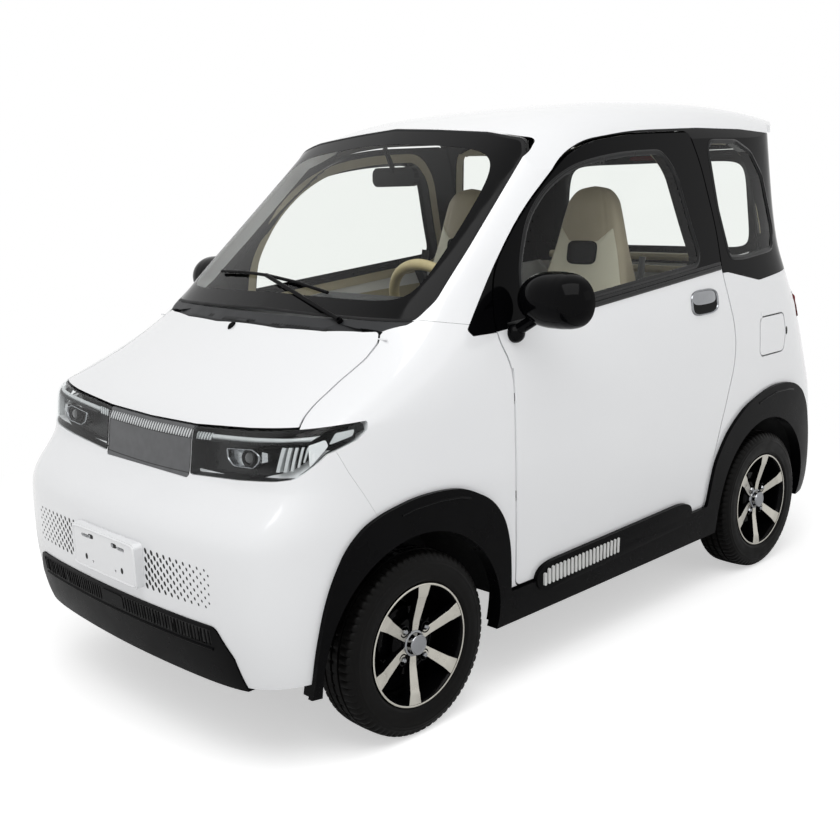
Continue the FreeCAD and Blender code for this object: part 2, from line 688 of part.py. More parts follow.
def make_windscreen():
    """Windscreen."""
    return largest(wall(GLASS_DEPTH, GLASS_DEPTH + 8, prism("y", WINDSCREEN_FRONT, -1000, -100, -SEAT)))


def make_cowl():
    """Dark cowl strip between the hood and the windscreen, with groups of air slots."""
    band = wall(0.0, 34.0, cowl_region()).cut(screen_region(SEAT)).cut(hood_region(GAP))
    band = band.cut(hood_sweep()).cut(mirrored(hood_sweep()))
    for angle in (13.0, 27.0, HOOD_OPEN):
        band = band.cut(opened_hood(angle))
    return largest(band)


def make_hood():
    """Hood panel with the holes of its hinge pins."""
    shell = largest(wall(0.0, HOOD_WALL, hood_region()))
    for side in (-1, 1):
        shell = shell.cut(rod(Vector(side * 484, HOOD_HINGE.y, HOOD_HINGE.z),
                              Vector(side * 530, HOOD_HINGE.y, HOOD_HINGE.z), 2.5 + FIT))
    return largest(shell)


def make_tailgate():
    """Tailgate: painted lower panel, dark window frame with its hinge notches, and glass."""
    shell = wall(0.0, 40.0, gate_region())
    opening = prism("y", GATE_GLASS, 900, FAR)
    y, z = GATE_HINGE.y, GATE_HINGE.z
    low = block(-FAR, FAR, 900, FAR, 0, GATE_SPLIT)
    panel = largest(shell.common(low))
    crown = block(-FAR, FAR, y, y + 60, z - 22, z + 60)
    crown = crown.cut(rod(Vector(-FAR, y, z), Vector(FAR, y, z), GATE_CROWN))
    crown = crown.cut(block(-FAR, FAR, y, y + GATE_CROWN, z - 22, z))
    frame = shell.cut(low).cut(opening).cut(crown)
    for side in (-1, 1):
        x = side * 306
        frame = frame.cut(block(x - 15.5, x + 15.5, y - 18, 1400, z - 14, 1700))
        frame = frame.cut(rod(Vector(x - 27, y, z), Vector(x + 27, y, z), 4.0 + FIT))
    glass = wall(GLASS_DEPTH, GLASS_DEPTH + GLASS, prism("y", GATE_GLASS, 900, FAR, -SEAT))
    return panel, largest(frame), largest(glass)


def make_headlamp():
    """Left lamp: dark cup for its light units, and its clear lens."""
    lens = largest(wall(0.0, 4.0, lamp_region()))
    cup = wall(4.0 + SEAT, 60.0, lamp_region())
    hollow = wall(0.0, 44.0, lamp_region(-5.0))
    return largest(cup.cut(hollow)), lens


def make_tail_lamp():
    """Left tail lamp."""
    shape = wall(-3.0, 50.0, prism("y", TAIL_LAMP, 1172, FAR)).cut(gate_region(GAP))
    return largest(shape)


def make_panel():
    """Dark panel between the lamps."""
    return largest(wall(1.0, 18.0, panel_region()))


def make_plate_bracket():
    """Plate bracket seated on the bumper, with two slots and two screw holes."""
    outline = [(-167, 441, 14), (167, 441, 14), (167, 564, 14), (-167, 564, 14)]
    plate = prism("y", outline, -1421, -1330).cut(body(-SEAT))
    for side in (-1, 1):
        plate = plate.cut(rod(Vector(side * 60, -1500, 470), Vector(side * 60, -1200, 470), 4.0))
        slot = [(side * 95 - 20, 533, 4.9), (side * 95 + 20, 533, 4.9), (side * 95 + 20, 543, 4.9),
                (side * 95 - 20, 543, 4.9)]
        plate = plate.cut(prism("y", slot, -1500, -1200))
    return largest(plate)


def make_floor():
    """Floor pan with its toe board and firewall."""
    plan = [(-590, -530), (-386, -530), (-386, -815), (386, -815), (386, -530), (590, -530), (590, 505),
            (386, 532), (-386, 532), (-590, 505)]
    profile = [(-815, 560), (-620, 292), (700, 292), (700, 300), (-616, 300), (-807, 562), (-815, 562)]
    floor = prism("z", plan, 200, 700).common(prism("x", profile, -FAR, FAR))
    wall_low = block(-386, 386, -815, -807, 559, 600)
    wall_high = block(-FAR, FAR, -815, -807, 600, 1030).common(body(62.0))
    return joined([floor, wall_low, wall_high])


def make_frame():
    """Two side rails that climb over the axles, tied by cross members."""
    rail = [(-1300, 330), (-1010, 330), (-620, 215), (560, 215), (680, 330), (1320, 330), (1320, 400),
            (650, 400), (537, 291.7), (-632, 291.7), (-800, 400), (-1300, 400)]
    parts = [prism("x", rail, 300, 350), prism("x", rail, -350, -300)]
    for y, z in ((-1290, 365), (-600, 250), (520, 250), (1290, 365)):
        parts.append(block(-340, 340, y - 30, y + 30, z - 28, z + 28))
    return joined(parts)


def make_battery():
    """Battery pack, closed."""
    return prism("z", [(-290, -560, 20), (290, -560, 20), (290, 480, 20), (-290, 480, 20)], 172, 291.7)


def make_suspension():
    """Left strut, lower arm, and the crossing subframe and steering rack."""
    axis = KING_TOP.sub(KING_LOW)

    def on_axis(z):
        return KING_LOW + axis * ((z - KING_LOW.z) / axis.z)

    strut = [rod(on_axis(345), on_axis(420), 10.0), rod(on_axis(400), on_axis(560), 19.0),
             rod(on_axis(545), on_axis(552), 46.0), rod(on_axis(552), on_axis(720), 38.0),
             rod(on_axis(720), on_axis(735), 60.0)]
    strut = joined(strut)
    tower = block(290, 500, FRONT_Y - 60, FRONT_Y + 60, 735.5, 750)
    leg = block(290, 330, FRONT_Y - 60, FRONT_Y + 60, 400.5, 750)
    arm = prism("z", [(200, FRONT_Y - 120, 10), (270, FRONT_Y - 120, 10), (520, FRONT_Y - 24, 20),
                      (567, FRONT_Y - 24, 20), (567, FRONT_Y + 24, 20), (520, FRONT_Y + 24, 20),
                      (270, FRONT_Y + 120, 10), (200, FRONT_Y + 120, 10)], 146, 164)
    stud = rod(on_axis(150), on_axis(196), 9.0)
    cross = block(-230, 230, FRONT_Y - 130, FRONT_Y + 130, 146, 190)
    posts = block(180, 230, FRONT_Y - 40, FRONT_Y + 40, 180, 340)
    shelf = block(180, 298, FRONT_Y - 40, FRONT_Y + 40, 334, 364)
    left = [arm, stud, posts, shelf]
    sub = joined([cross] + left + [mirrored(s) for s in left])
    towers = joined([strut, tower, leg])
    return sub, towers


def make_knuckle():
    """Left knuckle: collar on the strut, upright, lower boss and spindle."""
    axis = KING_TOP.sub(KING_LOW)

    def on_axis(z):
        return KING_LOW + axis * ((z - KING_LOW.z) / axis.z)

    collar = rod(on_axis(330), on_axis(392), 19.0)
    boss = rod(on_axis(170), on_axis(205), 18.0)
    web = rod(on_axis(195), on_axis(340), 13.0)
    hub = rod(Vector(525, FRONT_Y, AXLE_Z), Vector(566, FRONT_Y, AXLE_Z), 40.0)
    spindle = rod(Vector(560, FRONT_Y, AXLE_Z), Vector(640, FRONT_Y, AXLE_Z), SPINDLE_R)
    arm = block(500, 530, FRONT_Y + 20, FRONT_Y + 112, 230, 252)
    shape = joined([collar, boss, web, hub, spindle, arm])
    shape = shape.cut(rod(on_axis(344), on_axis(410), 10.0 + FIT))
    shape = shape.cut(rod(on_axis(160), on_axis(198), 9.0 + FIT))
    return shape


def revolve_x(points, x, y, z):
    """Turn a profile of distances along the axle and radii about an axle across the car."""
    outline = Part.Wire(rounded(points))
    face = Part.Face(outline)
    face.rotate(Vector(0, 0, 0), Vector(1, 0, 0), 90)
    solid = face.revolve(Vector(0, 0, 0), Vector(1, 0, 0), 360)
    solid.translate(Vector(x, y, z))
    return solid


def make_wheel(front):
    """Left rim with its hub, and its tyre, at the wheel's own centre."""
    barrel = [(-RIM_HALF, RIM_R), (-RIM_HALF + 6, RIM_R), (-RIM_HALF + 10, RIM_SEAT_R), (-30, RIM_SEAT_R - 6),
              (-20, RIM_SEAT_R - 20), (20, RIM_SEAT_R - 20), (30, RIM_SEAT_R - 6), (RIM_HALF - 10, RIM_SEAT_R),
              (RIM_HALF - 6, RIM_R), (RIM_FACE - 2, RIM_R), (RIM_FACE - 2, RIM_R - 6),
              (RIM_HALF - 6, RIM_SEAT_R - 8), (34, RIM_SEAT_R - 12), (26, RIM_SEAT_R - 26),
              (-26, RIM_SEAT_R - 26), (-34, RIM_SEAT_R - 12), (-RIM_HALF, RIM_SEAT_R - 6)]
    rim = revolve_x(barrel, 0, 0, 0)
    face = revolve_x([(48, 0), (50, 60), (46, RIM_SEAT_R - 14), (RIM_FACE - 5, RIM_SEAT_R - 4),
                      (RIM_FACE - 5, 120), (RIM_FACE - 9, 70), (RIM_FACE - 14, 38), (RIM_FACE - 14, 0)], 0, 0, 0)
    windows = []
    window = [(66, -20, 8), (104, -34, 12), (144, -52, 10), (146, 40, 10), (108, 24, 12), (70, 16, 8)]
    for i in range(SPOKES):
        pocket = prism("x", window, 30, 80)
        pocket.rotate(Vector(0, 0, 0), Vector(1, 0, 0), 30 + 360 / SPOKES * i)
        windows.append(pocket)
    face = face.cut(Part.makeCompound(windows))
    hub = revolve_x([(-20, 0), (-20, 55), (48, 55), (50, 0)], 0, 0, 0)
    parts = [rim, face, hub]
    if front:
        parts.append(revolve_x([(-20, 0), (-20, DISC_R), (-8, DISC_R), (-8, 0)], 0, 0, 0))
    rim = joined(parts)
    cap = revolve_x([(40, 0), (40, 30), (RIM_FACE - 16, 30), (RIM_FACE - 14, 24), (RIM_FACE - 14, 0)], 0, 0, 0)
    rim = rim.fuse(cap).cut(rod(Vector(-21, 0, 0), Vector(46, 0, 0), SPINDLE_R + FIT))
    half = TYRE_WIDTH / 2
    section = [(-RIM_HALF + 10.5, RIM_SEAT_R + SEAT), (-RIM_HALF + 6.5, RIM_R + SEAT, 4), (-half, 205, 30),
               (-half + 6, TYRE_R - 18, 14), (-half + 18, TYRE_R, 10), (half - 18, TYRE_R, 10),
               (half - 6, TYRE_R - 18, 14), (half, 205, 30), (RIM_HALF - 6.5, RIM_R + SEAT, 4),
               (RIM_HALF - 10.5, RIM_SEAT_R + SEAT)]
    tyre = revolve_x(section, 0, 0, 0)
    return rim, tyre


def make_rear_axle():
    """Beam axle with trailing arms, springs and the drive unit."""
    beam = rod(Vector(-566, REAR_Y, AXLE_Z), Vector(566, REAR_Y, AXLE_Z), 26.0)
    parts = [beam]
    for side in (-1, 1):
        parts.append(rod(Vector(side * 566, REAR_Y, AXLE_Z), Vector(side * 640, REAR_Y, AXLE_Z), SPINDLE_R))
        parts.append(rod(Vector(side * 548, REAR_Y, AXLE_Z), Vector(side * 568, REAR_Y, AXLE_Z), 100.0))
        parts.append(rod(Vector(side * 270, REAR_Y, AXLE_Z), Vector(side * 270, 560, 250), 18.0))
        parts.append(rod(Vector(side * 326, REAR_Y, AXLE_Z + 10), Vector(side * 326, REAR_Y, 329.7), 30.0))
    parts.append(block(-190, 130, REAR_Y - 110, REAR_Y + 120, 175, 370))
    return joined(parts)


def make_liner(y):
    """Left wheel arch liner."""
    radius = ARCH_R + ARCH_LIP
    ring = cylinder_x(y, AXLE_Z, radius - 4, 398, 700).cut(cylinder_x(y, AXLE_Z, radius - 8, 398, 700))
    inner = cylinder_x(y, AXLE_Z, radius - 4, 394, 398)
    shape = joined([ring, inner]).common(block(300, 700, y - 400, y + 400, 300.3, 700))
    shape = shape.common(side_body(SKIN + SEAT))
    if y < 0:
        shape = shape.cut(rod(KING_LOW, KING_TOP + (KING_TOP - KING_LOW), 66.0))
    return largest(shape)


def make_dash():
    """Dashboard with its steering column."""
    profile = [(-806.7, 960), (-806.7, 1020, 10), (-640, 1085, 60), (-545, 1060, 20), (-560, 930, 40),
               (-620, 800, 40), (-700, 740, 20), (-806.7, 740)]
    dash = prism("x", profile, -540, 540).common(body(62.0))
    cluster = prism("x", [(-640, 1060), (-640, 1122, 12), (-560, 1132, 12), (-545, 1050)], -30, 330)
    column = rod(WHEEL_HUB - COLUMN * 240, WHEEL_HUB - COLUMN * 30, 34.0)
    whole = joined([dash, cluster, column])
    return whole.cut(rod(WHEEL_HUB - COLUMN * 170, WHEEL_HUB, 12.0 + FIT))


def make_steering_wheel():
    """Steering wheel rim, spokes and boss."""
    rim = Part.makeTorus(WHEEL_RIM_R, 15.0)
    parts = [rim, Part.makeCylinder(52, 34, Vector(0, 0, -24)), Part.makeCylinder(12, 140, Vector(0, 0, -160))]
    for angle in (0, 180, 270):
        bar = block(30, WHEEL_RIM_R, -16, 16, -12, 2)
        bar.rotate(Vector(0, 0, 0), Vector(0, 0, 1), angle)
        parts.append(bar)
    shape = joined(parts)
    shape.rotate(Vector(0, 0, 0), Vector(1, 0, 0), -64)
    shape.translate(WHEEL_HUB)
    return shape


def make_seat():
    """Left bucket seat: base, cushion and back with its head rest."""
    base = block(150, 430, -120, 300, 300.3, 520)
    cushion = prism("x", [(-190, 560, 30), (-200, 640, 40), (-150, 700, 50), (300, 660, 30), (400, 640, 40),
                          (400, 560, 20), (100, 520)], 85, 495)
    back = prism("x", [(250, 600, 30), (330, 640, 60), (262, 700), (330, 1240), (335, 1400, 30), (410, 1430, 30),
                       (440, 1300), (440, 1000), (400, 600, 40)], 85, 495)
    shape = prism("y", [(85, 500), (495, 500), (495, 1060, 60), (470, 1170, 80), (410, 1215, 60),
                        (400, 1390, 50), (360, 1440, 60), (220, 1440, 60), (180, 1390, 50), (170, 1215, 60),
                        (110, 1170, 80), (85, 1060, 60)], -500, 700)
    back = back.common(shape)
    hole = prism("y", [(215, 1235, 20), (365, 1235, 20), (365, 1275, 20), (215, 1275, 20)], 200, 600)
    return joined([cushion, back.cut(hole)]).common(shape), base


def make_deck():
    """Luggage deck behind the seats."""
    profile = [(524, 300.3), (532, 300.3), (532, 632), (1190, 632), (1190, 640), (524, 640)]
    return prism("x", profile, -560, 560).common(body(56.0))


def make_inner_mirror():
    """Inner mirror on its stem."""
    head = prism("y", [(-100, 1440, 24), (100, 1440, 24), (96, 1500, 24), (-96, 1500, 24)], -300, -280)
    stem = rod(Vector(0, -292, 1480), Vector(0, -330, 1560), 8)
    return joined([head, stem]).common(body(GLASS_DEPTH + 8 + SEAT))


def glass_point(x, z, inset):
    """A point of the nose at one height and one distance from the centre line."""
    low, high = 0.0, math.radians(80)
    for step in range(40):
        middle = (low + high) / 2
        if body_point(middle, z, inset).x < abs(x):
            low = middle
        else:
            high = middle
    point = body_point(low, z, inset)
    return Vector(point.x if x > 0 else -point.x, point.y, point.z)


def make_wiper():
    """Wiper arm and blade lying on the foot of the windscreen."""
    pivot = glass_point(360, 1101, -14)
    tip = glass_point(-65, 1197, -16)
    parts = [rod(glass_point(360, 1093, 2), pivot, 9), rod(pivot, tip, 6)]
    stops = [glass_point(x, z, -9) for x, z in ((-335, 1197), (-200, 1200), (-65, 1196), (90, 1183), (245, 1162))]
    parts.append(rod(tip, glass_point(-65, 1196, -9), 6))
    for start, end in zip(stops[:-1], stops[1:]):
        parts.append(rod(start, end, 5))
        parts.append(Part.makeSphere(5, end))
    return largest(joined(parts).cut(body(-SEAT)))


def place_wheel(shape, side, y):
    """Set a left wheel piece at its corner of the car."""
    piece = shape.copy()
    if side < 0:
        piece = mirrored(piece)
    piece.translate(Vector(side * TRACK_HALF, y, AXLE_Z))
    return piece


def main():
    """Build and write every node."""
    os.makedirs("parts", exist_ok=True)
    panel, frame, glass = make_doors()
    mirror = make_mirror()
    for side, name in ((1, "left"), (-1, "right")):
        for piece, shape in (("panel", panel), ("frame", frame), ("glass", glass), ("mirror", mirror)):
            export("door_" + name + "_" + piece, shape if side > 0 else mirrored(shape))
        export("knuckle_" + name, make_knuckle() if side > 0 else mirrored(make_knuckle()))
    export("fenders", both(make_fenders()))
    export("front_bumper", make_bumper())
    export("lower_grille", make_grille())
    export("side_cladding", both(make_cladding()))
    export("quarter_panels", Part.makeCompound([make_quarter(True), mirrored(make_quarter(False))]))
    export("charge_flap", make_flap())
    export("rear_bumper", make_rear_bumper())
    export("hinge_posts", both(make_hinge_posts()))
    export("pillar_frame", make_pillars())
    export("quarter_glass", both(make_quarter_glass()))
    export("roof_panel", make_roof())
    export("windscreen", make_windscreen())
    export("cowl_panel", make_cowl())
    export("hood", make_hood())
    gate, gate_frame, gate_glass = make_tailgate()
    export("tailgate", gate)
    export("tailgate_frame", gate_frame)
    export("tailgate_glass", gate_glass)
    bucket, lens = make_headlamp()
    export("headlamps", both(bucket))
    export("headlamp_lenses", both(lens))
    export("tail_lamps", both(make_tail_lamp()))
    export("lamp_panel", make_panel())
    export("plate_bracket", make_plate_bracket())
    export("floor_pan", make_floor())
    export("chassis_frame", make_frame())
    export("battery_pack", make_battery())
    sub, tower = make_suspension()
    export("front_subframe", sub)
    export("front_struts", both(tower))
    export("rear_axle", make_rear_axle())
    liners = [make_liner(y) for y in (FRONT_Y, REAR_Y)]
    export("wheel_liners", Part.makeCompound(liners + [mirrored(liner) for liner in liners]))
    export("dashboard", make_dash())
    export("steering_wheel", make_steering_wheel())
    seat, base = make_seat()
    export("seats", both(seat))
    export("seat_bases", both(base))
    export("luggage_deck", make_deck())
    export("interior_mirror", make_inner_mirror())
    export("wiper", make_wiper())
    for front, y, row in ((True, FRONT_Y, "front"), (False, REAR_Y, "rear")):
        rim, tyre = make_wheel(front)
        for side, name in ((1, "left"), (-1, "right")):
            export("rim_" + row + "_" + name, place_wheel(rim, side, y))
            export("tyre_" + row + "_" + name, place_wheel(tyre, side, y))


main()
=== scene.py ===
import json
import logging
import math
from dataclasses import dataclass
from enum import Enum
from typing import Any, Iterable, Sequence

import bmesh
import bpy
import numpy as np
from mathutils import Matrix


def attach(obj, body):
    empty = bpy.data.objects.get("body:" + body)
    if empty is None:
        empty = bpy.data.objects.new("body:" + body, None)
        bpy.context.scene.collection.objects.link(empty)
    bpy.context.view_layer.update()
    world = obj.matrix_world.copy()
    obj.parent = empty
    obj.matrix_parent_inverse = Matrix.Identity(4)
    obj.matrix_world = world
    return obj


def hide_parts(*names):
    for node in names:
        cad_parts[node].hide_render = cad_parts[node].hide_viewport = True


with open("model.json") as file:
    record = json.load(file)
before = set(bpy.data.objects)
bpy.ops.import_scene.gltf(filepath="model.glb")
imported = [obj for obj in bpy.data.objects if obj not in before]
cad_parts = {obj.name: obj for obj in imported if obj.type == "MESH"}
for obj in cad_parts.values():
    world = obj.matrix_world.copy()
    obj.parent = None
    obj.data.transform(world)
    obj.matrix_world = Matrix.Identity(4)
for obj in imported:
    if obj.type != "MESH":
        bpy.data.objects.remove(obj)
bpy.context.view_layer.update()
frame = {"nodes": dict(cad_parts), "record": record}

log = logging.getLogger("microcar")
MM = 0.001
TAU = 2.0 * math.pi
# Points closer than this are one, in metres.
MERGE = 1e-6
# Stands in for zero under a division.
TINY = 1e-12
# How far flat marks stand out, in metres.
THIN = 0.0004
# How far thin pieces reach into what carries them, in metres.
ROOT = 0.0006
# Steps of a rounded edge, and the angle in degrees over which an edge is rounded.
BEVEL_STEPS = 2
BEVEL_ANGLE = 30.0
# Blocks in which an outline's rays are worked, to spare memory.
RAY_BLOCKS = 24
# Roughness of every clear coat.
COAT_ROUGHNESS = 0.03
# Share of a weave's pitch that one wave takes.
WEAVE_SCALE = 3.14 / TAU
# Width of the camera's sensor in mm.
SENSOR = 36.0


def linear(code: str) -> tuple[float, float, float, float]:
    """Turns a sRGB hex colour into linear light.

    Args:
        code: six hex digits, such as "e6e7e8".

    Returns:
        Red, green, blue and 1, each from c/12.92 or ((c + 0.055)/1.055)^2.4.
    """
    raw = [int(code[i:i + 2], 16) / 255.0 for i in (0, 2, 4)]
    out = [c / 12.92 if c <= 0.04045 else ((c + 0.055) / 1.055) ** 2.4 for c in raw]
    return (out[0], out[1], out[2], 1.0)


def add(tree: Any, kind: str, links: dict[str, Any] | None = None, **settings: Any) -> Any:
    """Adds one shader node with its settings, values and links.

    Args:
        tree: the node tree.
        kind: the node's Blender type, without "ShaderNode".
        links: input name or number to a value or to another node's output.
        settings: the node's own properties.

    Returns:
        The new node.
    """
    made = tree.nodes.new("ShaderNode" + kind)
    for key, value in settings.items():
        setattr(made, key, value)
    for key, value in (links or {}).items():
        if isinstance(value, bpy.types.NodeSocket):
            tree.links.new(value, made.inputs[key])
        else:
            made.inputs[key].default_value = value
    return made


def empty_material(name: str) -> tuple[Any, Any]:
    """Makes a material with an empty node tree; returns the material and the tree."""
    made = bpy.data.materials.new(name)
    made.use_nodes = True
    made.node_tree.nodes.clear()
    return made, made.node_tree


class Texture(Enum):
    """The small relief that a surface shows."""

    ORANGE_PEEL = "orange peel"
    GRAIN = "grain"
    BRUSHED = "brushed"
    LEATHER = "leather"
    WEAVE = "weave"
    CAST = "cast"


@dataclass(frozen=True)
class Finish:
    """One solid finish: colour with a slight mottle, gloss that varies, and a relief.

    The colour runs from colour to shade by a noise of mottle_mm, roughness runs by
    plus or minus spread, and the relief has features of relief_mm, depth_mm high. The
    slot is the record's material slot that it stands for.
    """

    name: str
    slot: str
    colour: str
    shade: str
    roughness: float
    metallic: float = 0.0
    spread: float = 0.04
    coat: float = 0.0
    ior: float = 1.5
    sheen: float = 0.0
    mottle_mm: float = 60.0
    relief: Texture = Texture.GRAIN
    relief_mm: float = 1.5
    depth_mm: float = 0.05

    def height(self, tree: Any, where: Any) -> Any:
        """Gives the relief's height from 0 to 1.

        Args:
            tree: the node tree.
            where: the socket with Object coordinates.

        Returns:
            A socket: noise for peel and cast, cells for grain and leather, crossed
            sine waves for a weave, and noise drawn out along one way for brushing.
        """
        pitch = 1.0 / (self.relief_mm * MM)
        if self.relief is Texture.WEAVE:
            waves = [add(tree, "TexWave", {"Vector": where, "Scale": pitch * WEAVE_SCALE, "Distortion": 0.4},
                         wave_type="BANDS", bands_direction=way).outputs["Fac"] for way in ("X", "Z")]
            return add(tree, "Math", {0: waves[0], 1: waves[1]}, operation="MAXIMUM").outputs[0]
        if self.relief is Texture.BRUSHED:
            drawn = add(tree, "Mapping", {"Vector": where, "Scale": (1.0, 0.04, 0.04)})
            lines = add(tree, "TexNoise", {"Vector": drawn.outputs[0], "Scale": pitch * 2.0, "Detail": 3.0})
            return lines.outputs["Fac"]
        if self.relief in (Texture.GRAIN, Texture.LEATHER):
            kind = "F1" if self.relief is Texture.GRAIN else "DISTANCE_TO_EDGE"
            cells = add(tree, "TexVoronoi", {"Vector": where, "Scale": pitch}, feature=kind)
            return cells.outputs["Distance"]
        noise = add(tree, "TexNoise", {"Vector": where, "Scale": pitch, "Detail": 2.0})
        return noise.outputs["Fac"]

    def make(self) -> Any:
        """Builds the material; the same finish asked for again gives the same one."""
        known = bpy.data.materials.get(self.name)
        if known is not None:
            return known
        made, tree = empty_material(self.name)
        where = add(tree, "TexCoord").outputs["Object"]
        cloud = add(tree, "TexNoise", {"Vector": where, "Scale": 1.0 / (self.mottle_mm * MM), "Detail": 4.0})
        tone = add(tree, "Mix", {0: cloud.outputs["Fac"], 6: linear(self.colour), 7: linear(self.shade)},
                   data_type="RGBA")
        gloss = add(tree, "MapRange", {"Value": cloud.outputs["Fac"], "From Min": 0.3, "From Max": 0.7,
                                       "To Min": max(self.roughness - self.spread, 0.0),
                                       "To Max": min(self.roughness + self.spread, 1.0)})
        bump = add(tree, "Bump", {"Height": self.height(tree, where), "Strength": 0.6,
                                  "Distance": self.depth_mm * MM})
        shader = add(tree, "BsdfPrincipled", {"Base Color": tone.outputs[2], "Metallic": self.metallic,
                                              "Roughness": gloss.outputs[0], "IOR": self.ior,
                                              "Coat Weight": self.coat, "Coat Roughness": COAT_ROUGHNESS,
                                              "Sheen Weight": self.sheen, "Normal": bump.outputs[0]})
        add(tree, "OutputMaterial", {"Surface": shader.outputs[0]})
        return made


@dataclass(frozen=True)
class Pane:
    """A sheet of glass or clear plastic, seen through: mostly tint, with a gloss over it.

    Light goes straight through the tint, and a share that grows by Fresnel towards a
    grazing angle is mirrored. A faint smear pattern varies the gloss.
    """

    name: str
    tint: str
    roughness: float = 0.02
    ior: float = 1.5
    smear_mm: float = 90.0

    def make(self) -> Any:
        """Builds the material; the same pane asked for again gives the same one."""
        known = bpy.data.materials.get(self.name)
        if known is not None:
            return known
        made, tree = empty_material(self.name)
        where = add(tree, "TexCoord").outputs["Object"]
        smear = add(tree, "TexNoise", {"Vector": where, "Scale": 1.0 / (self.smear_mm * MM), "Detail": 3.0})
        gloss = add(tree, "MapRange", {"Value": smear.outputs["Fac"], "To Min": self.roughness,
                                       "To Max": self.roughness * 2.5})
        bump = add(tree, "Bump", {"Height": smear.outputs["Fac"], "Strength": 0.2, "Distance": 0.1 * MM})
        through = add(tree, "BsdfTransparent", {"Color": linear(self.tint)})
        mirror = add(tree, "BsdfGlossy", {"Color": linear("ffffff"), "Roughness": gloss.outputs[0],
                                          "Normal": bump.outputs[0]})
        share = add(tree, "Fresnel", {"IOR": self.ior})
        inside = add(tree, "NewGeometry").outputs["Backfacing"]
        outside = add(tree, "Math", {0: 1.0, 1: inside}, operation="SUBTRACT")
        held = add(tree, "Math", {0: share.outputs[0], 1: outside.outputs[0]}, operation="MULTIPLY")
        mixed = add(tree, "MixShader", {0: held.outputs[0], 1: through.outputs[0], 2: mirror.outputs[0]})
        add(tree, "OutputMaterial", {"Surface": mixed.outputs[0]})
        return made


# Two-pack white paint under clear lacquer: bright body, sharp reflections, faint peel.
PAINT = Finish("white_lacquered_paint", "white_paint", "e9eaeb", "e4e5e7", 0.32, coat=1.0, spread=0.03,
               relief=Texture.ORANGE_PEEL, relief_mm=6.0, depth_mm=0.012, mottle_mm=400.0)
# Piano black lacquer on the pillars and mirrors: near black, mirror-like.
PIANO = Finish("piano_black_lacquer", "gloss_black", "040405", "070708", 0.08, ior=1.15, spread=0.03,
               relief=Texture.ORANGE_PEEL, relief_mm=7.0, depth_mm=0.012, mottle_mm=300.0)
# Moulded black polypropylene of the flares: dull, with a fine leather-like grain.
MOULDED = Finish("moulded_black_polypropylene", "satin_black", "050506", "080809", 0.3, ior=1.12, spread=0.06,
                 relief_mm=1.6, depth_mm=0.06, mottle_mm=90.0)
# Grey-black moulded trim of the cowl and the dashboard's lower part.
TRIM = Finish("moulded_grey_trim", "trim_plastic", "1c1d1f", "242527", 0.5, ior=1.35, spread=0.07,
              relief_mm=1.8, depth_mm=0.1)
# EPDM rubber of the seals: dull black with a faint bloom.
SEAL = Finish("epdm_seal_rubber", "satin_black", "0b0b0c", "111112", 0.6, ior=1.3, spread=0.08, relief_mm=1.2,
              depth_mm=0.05)
# Tyre rubber: carbon black with a brownish bloom on the walls.
TYRE = Finish("tyre_rubber", "tyre", "080808", "0e0d0c", 0.45, ior=1.18, spread=0.1, relief_mm=2.2,
              depth_mm=0.12, mottle_mm=45.0)
# Welded, powder coated steel tube of the frame.
STEEL = Finish("powder_coated_steel", "frame_steel", "2a2c2e", "34363a", 0.55, spread=0.08,
               relief=Texture.CAST, relief_mm=2.5, depth_mm=0.1)
# Aluminium case of the battery pack, sandblasted.
CASE = Finish("blasted_aluminium", "pack_case", "8d9093", "9c9fa2", 0.5, metallic=0.9, relief=Texture.CAST,
              relief_mm=1.2, depth_mm=0.06)
# Diamond turned aluminium of the spokes: fine rings, satin.
TURNED = Finish("turned_aluminium", "alloy", "b9b6ad", "d0cdc4", 0.3, metallic=1.0, spread=0.06,
                relief=Texture.BRUSHED, relief_mm=0.8, depth_mm=0.02, mottle_mm=30.0)
# Chrome plate on the caps, nuts and handles.
CHROME = Finish("chrome_plate", "alloy", "9c9ea1", "88898c", 0.07, metallic=1.0, spread=0.02,
                relief=Texture.ORANGE_PEEL, relief_mm=4.0, depth_mm=0.01)
# Red acrylic of the tail lamps.
RED = Finish("red_acrylic", "red_lens", "6a0d10", "540a0d", 0.12, coat=1.0, relief=Texture.ORANGE_PEEL,
             relief_mm=5.0, depth_mm=0.03)
# Leatherette of the seats, taupe and cream.
TAUPE = Finish("taupe_leatherette", "seat_fabric", "b8ad97", "aca18a", 0.55, spread=0.06, sheen=0.15,
               relief=Texture.LEATHER, relief_mm=2.2, depth_mm=0.25, mottle_mm=50.0)
CREAM = Finish("cream_leatherette", "seat_fabric", "ebe7d4", "e2ddc9", 0.52, spread=0.06, sheen=0.15,
               relief=Texture.LEATHER, relief_mm=2.2, depth_mm=0.25, mottle_mm=50.0)
# Moulded beige ABS of the cabin trim.
BEIGE = Finish("moulded_beige_abs", "trim_plastic", "b5ac94", "aaa189", 0.5, spread=0.06, relief_mm=1.8,
               depth_mm=0.08)
# Clear tempered glass of the windows, and clear polycarbonate of the headlamps' lenses.
GLASS = Pane("clear_tempered_glass", "fbfcfb", ior=1.22)
LENS = Pane("clear_polycarbonate", "fafbfb", roughness=0.03, ior=1.25)

# Painted shade: near black, dull plates laid where holes, slots, vents, a notch and the intake's field are,
# standing in for the unlit hollows behind them; also the dark seams and end seals of the lamp band.
SHADE_AND_SEAMS = Finish("painted_shade_and_seams", "satin_black", "050505", "080808", 0.8, spread=0.05, relief_mm=2.0,
              depth_mm=0.02)
# Metallised grey lamp body: dark moulded polycarbonate with some gloss.
HOUSING = Finish("dark_lamp_polycarbonate", "gloss_black", "0c0d0e", "141517", 0.3, spread=0.05, ior=1.25,
                 relief_mm=3.0, depth_mm=0.03)
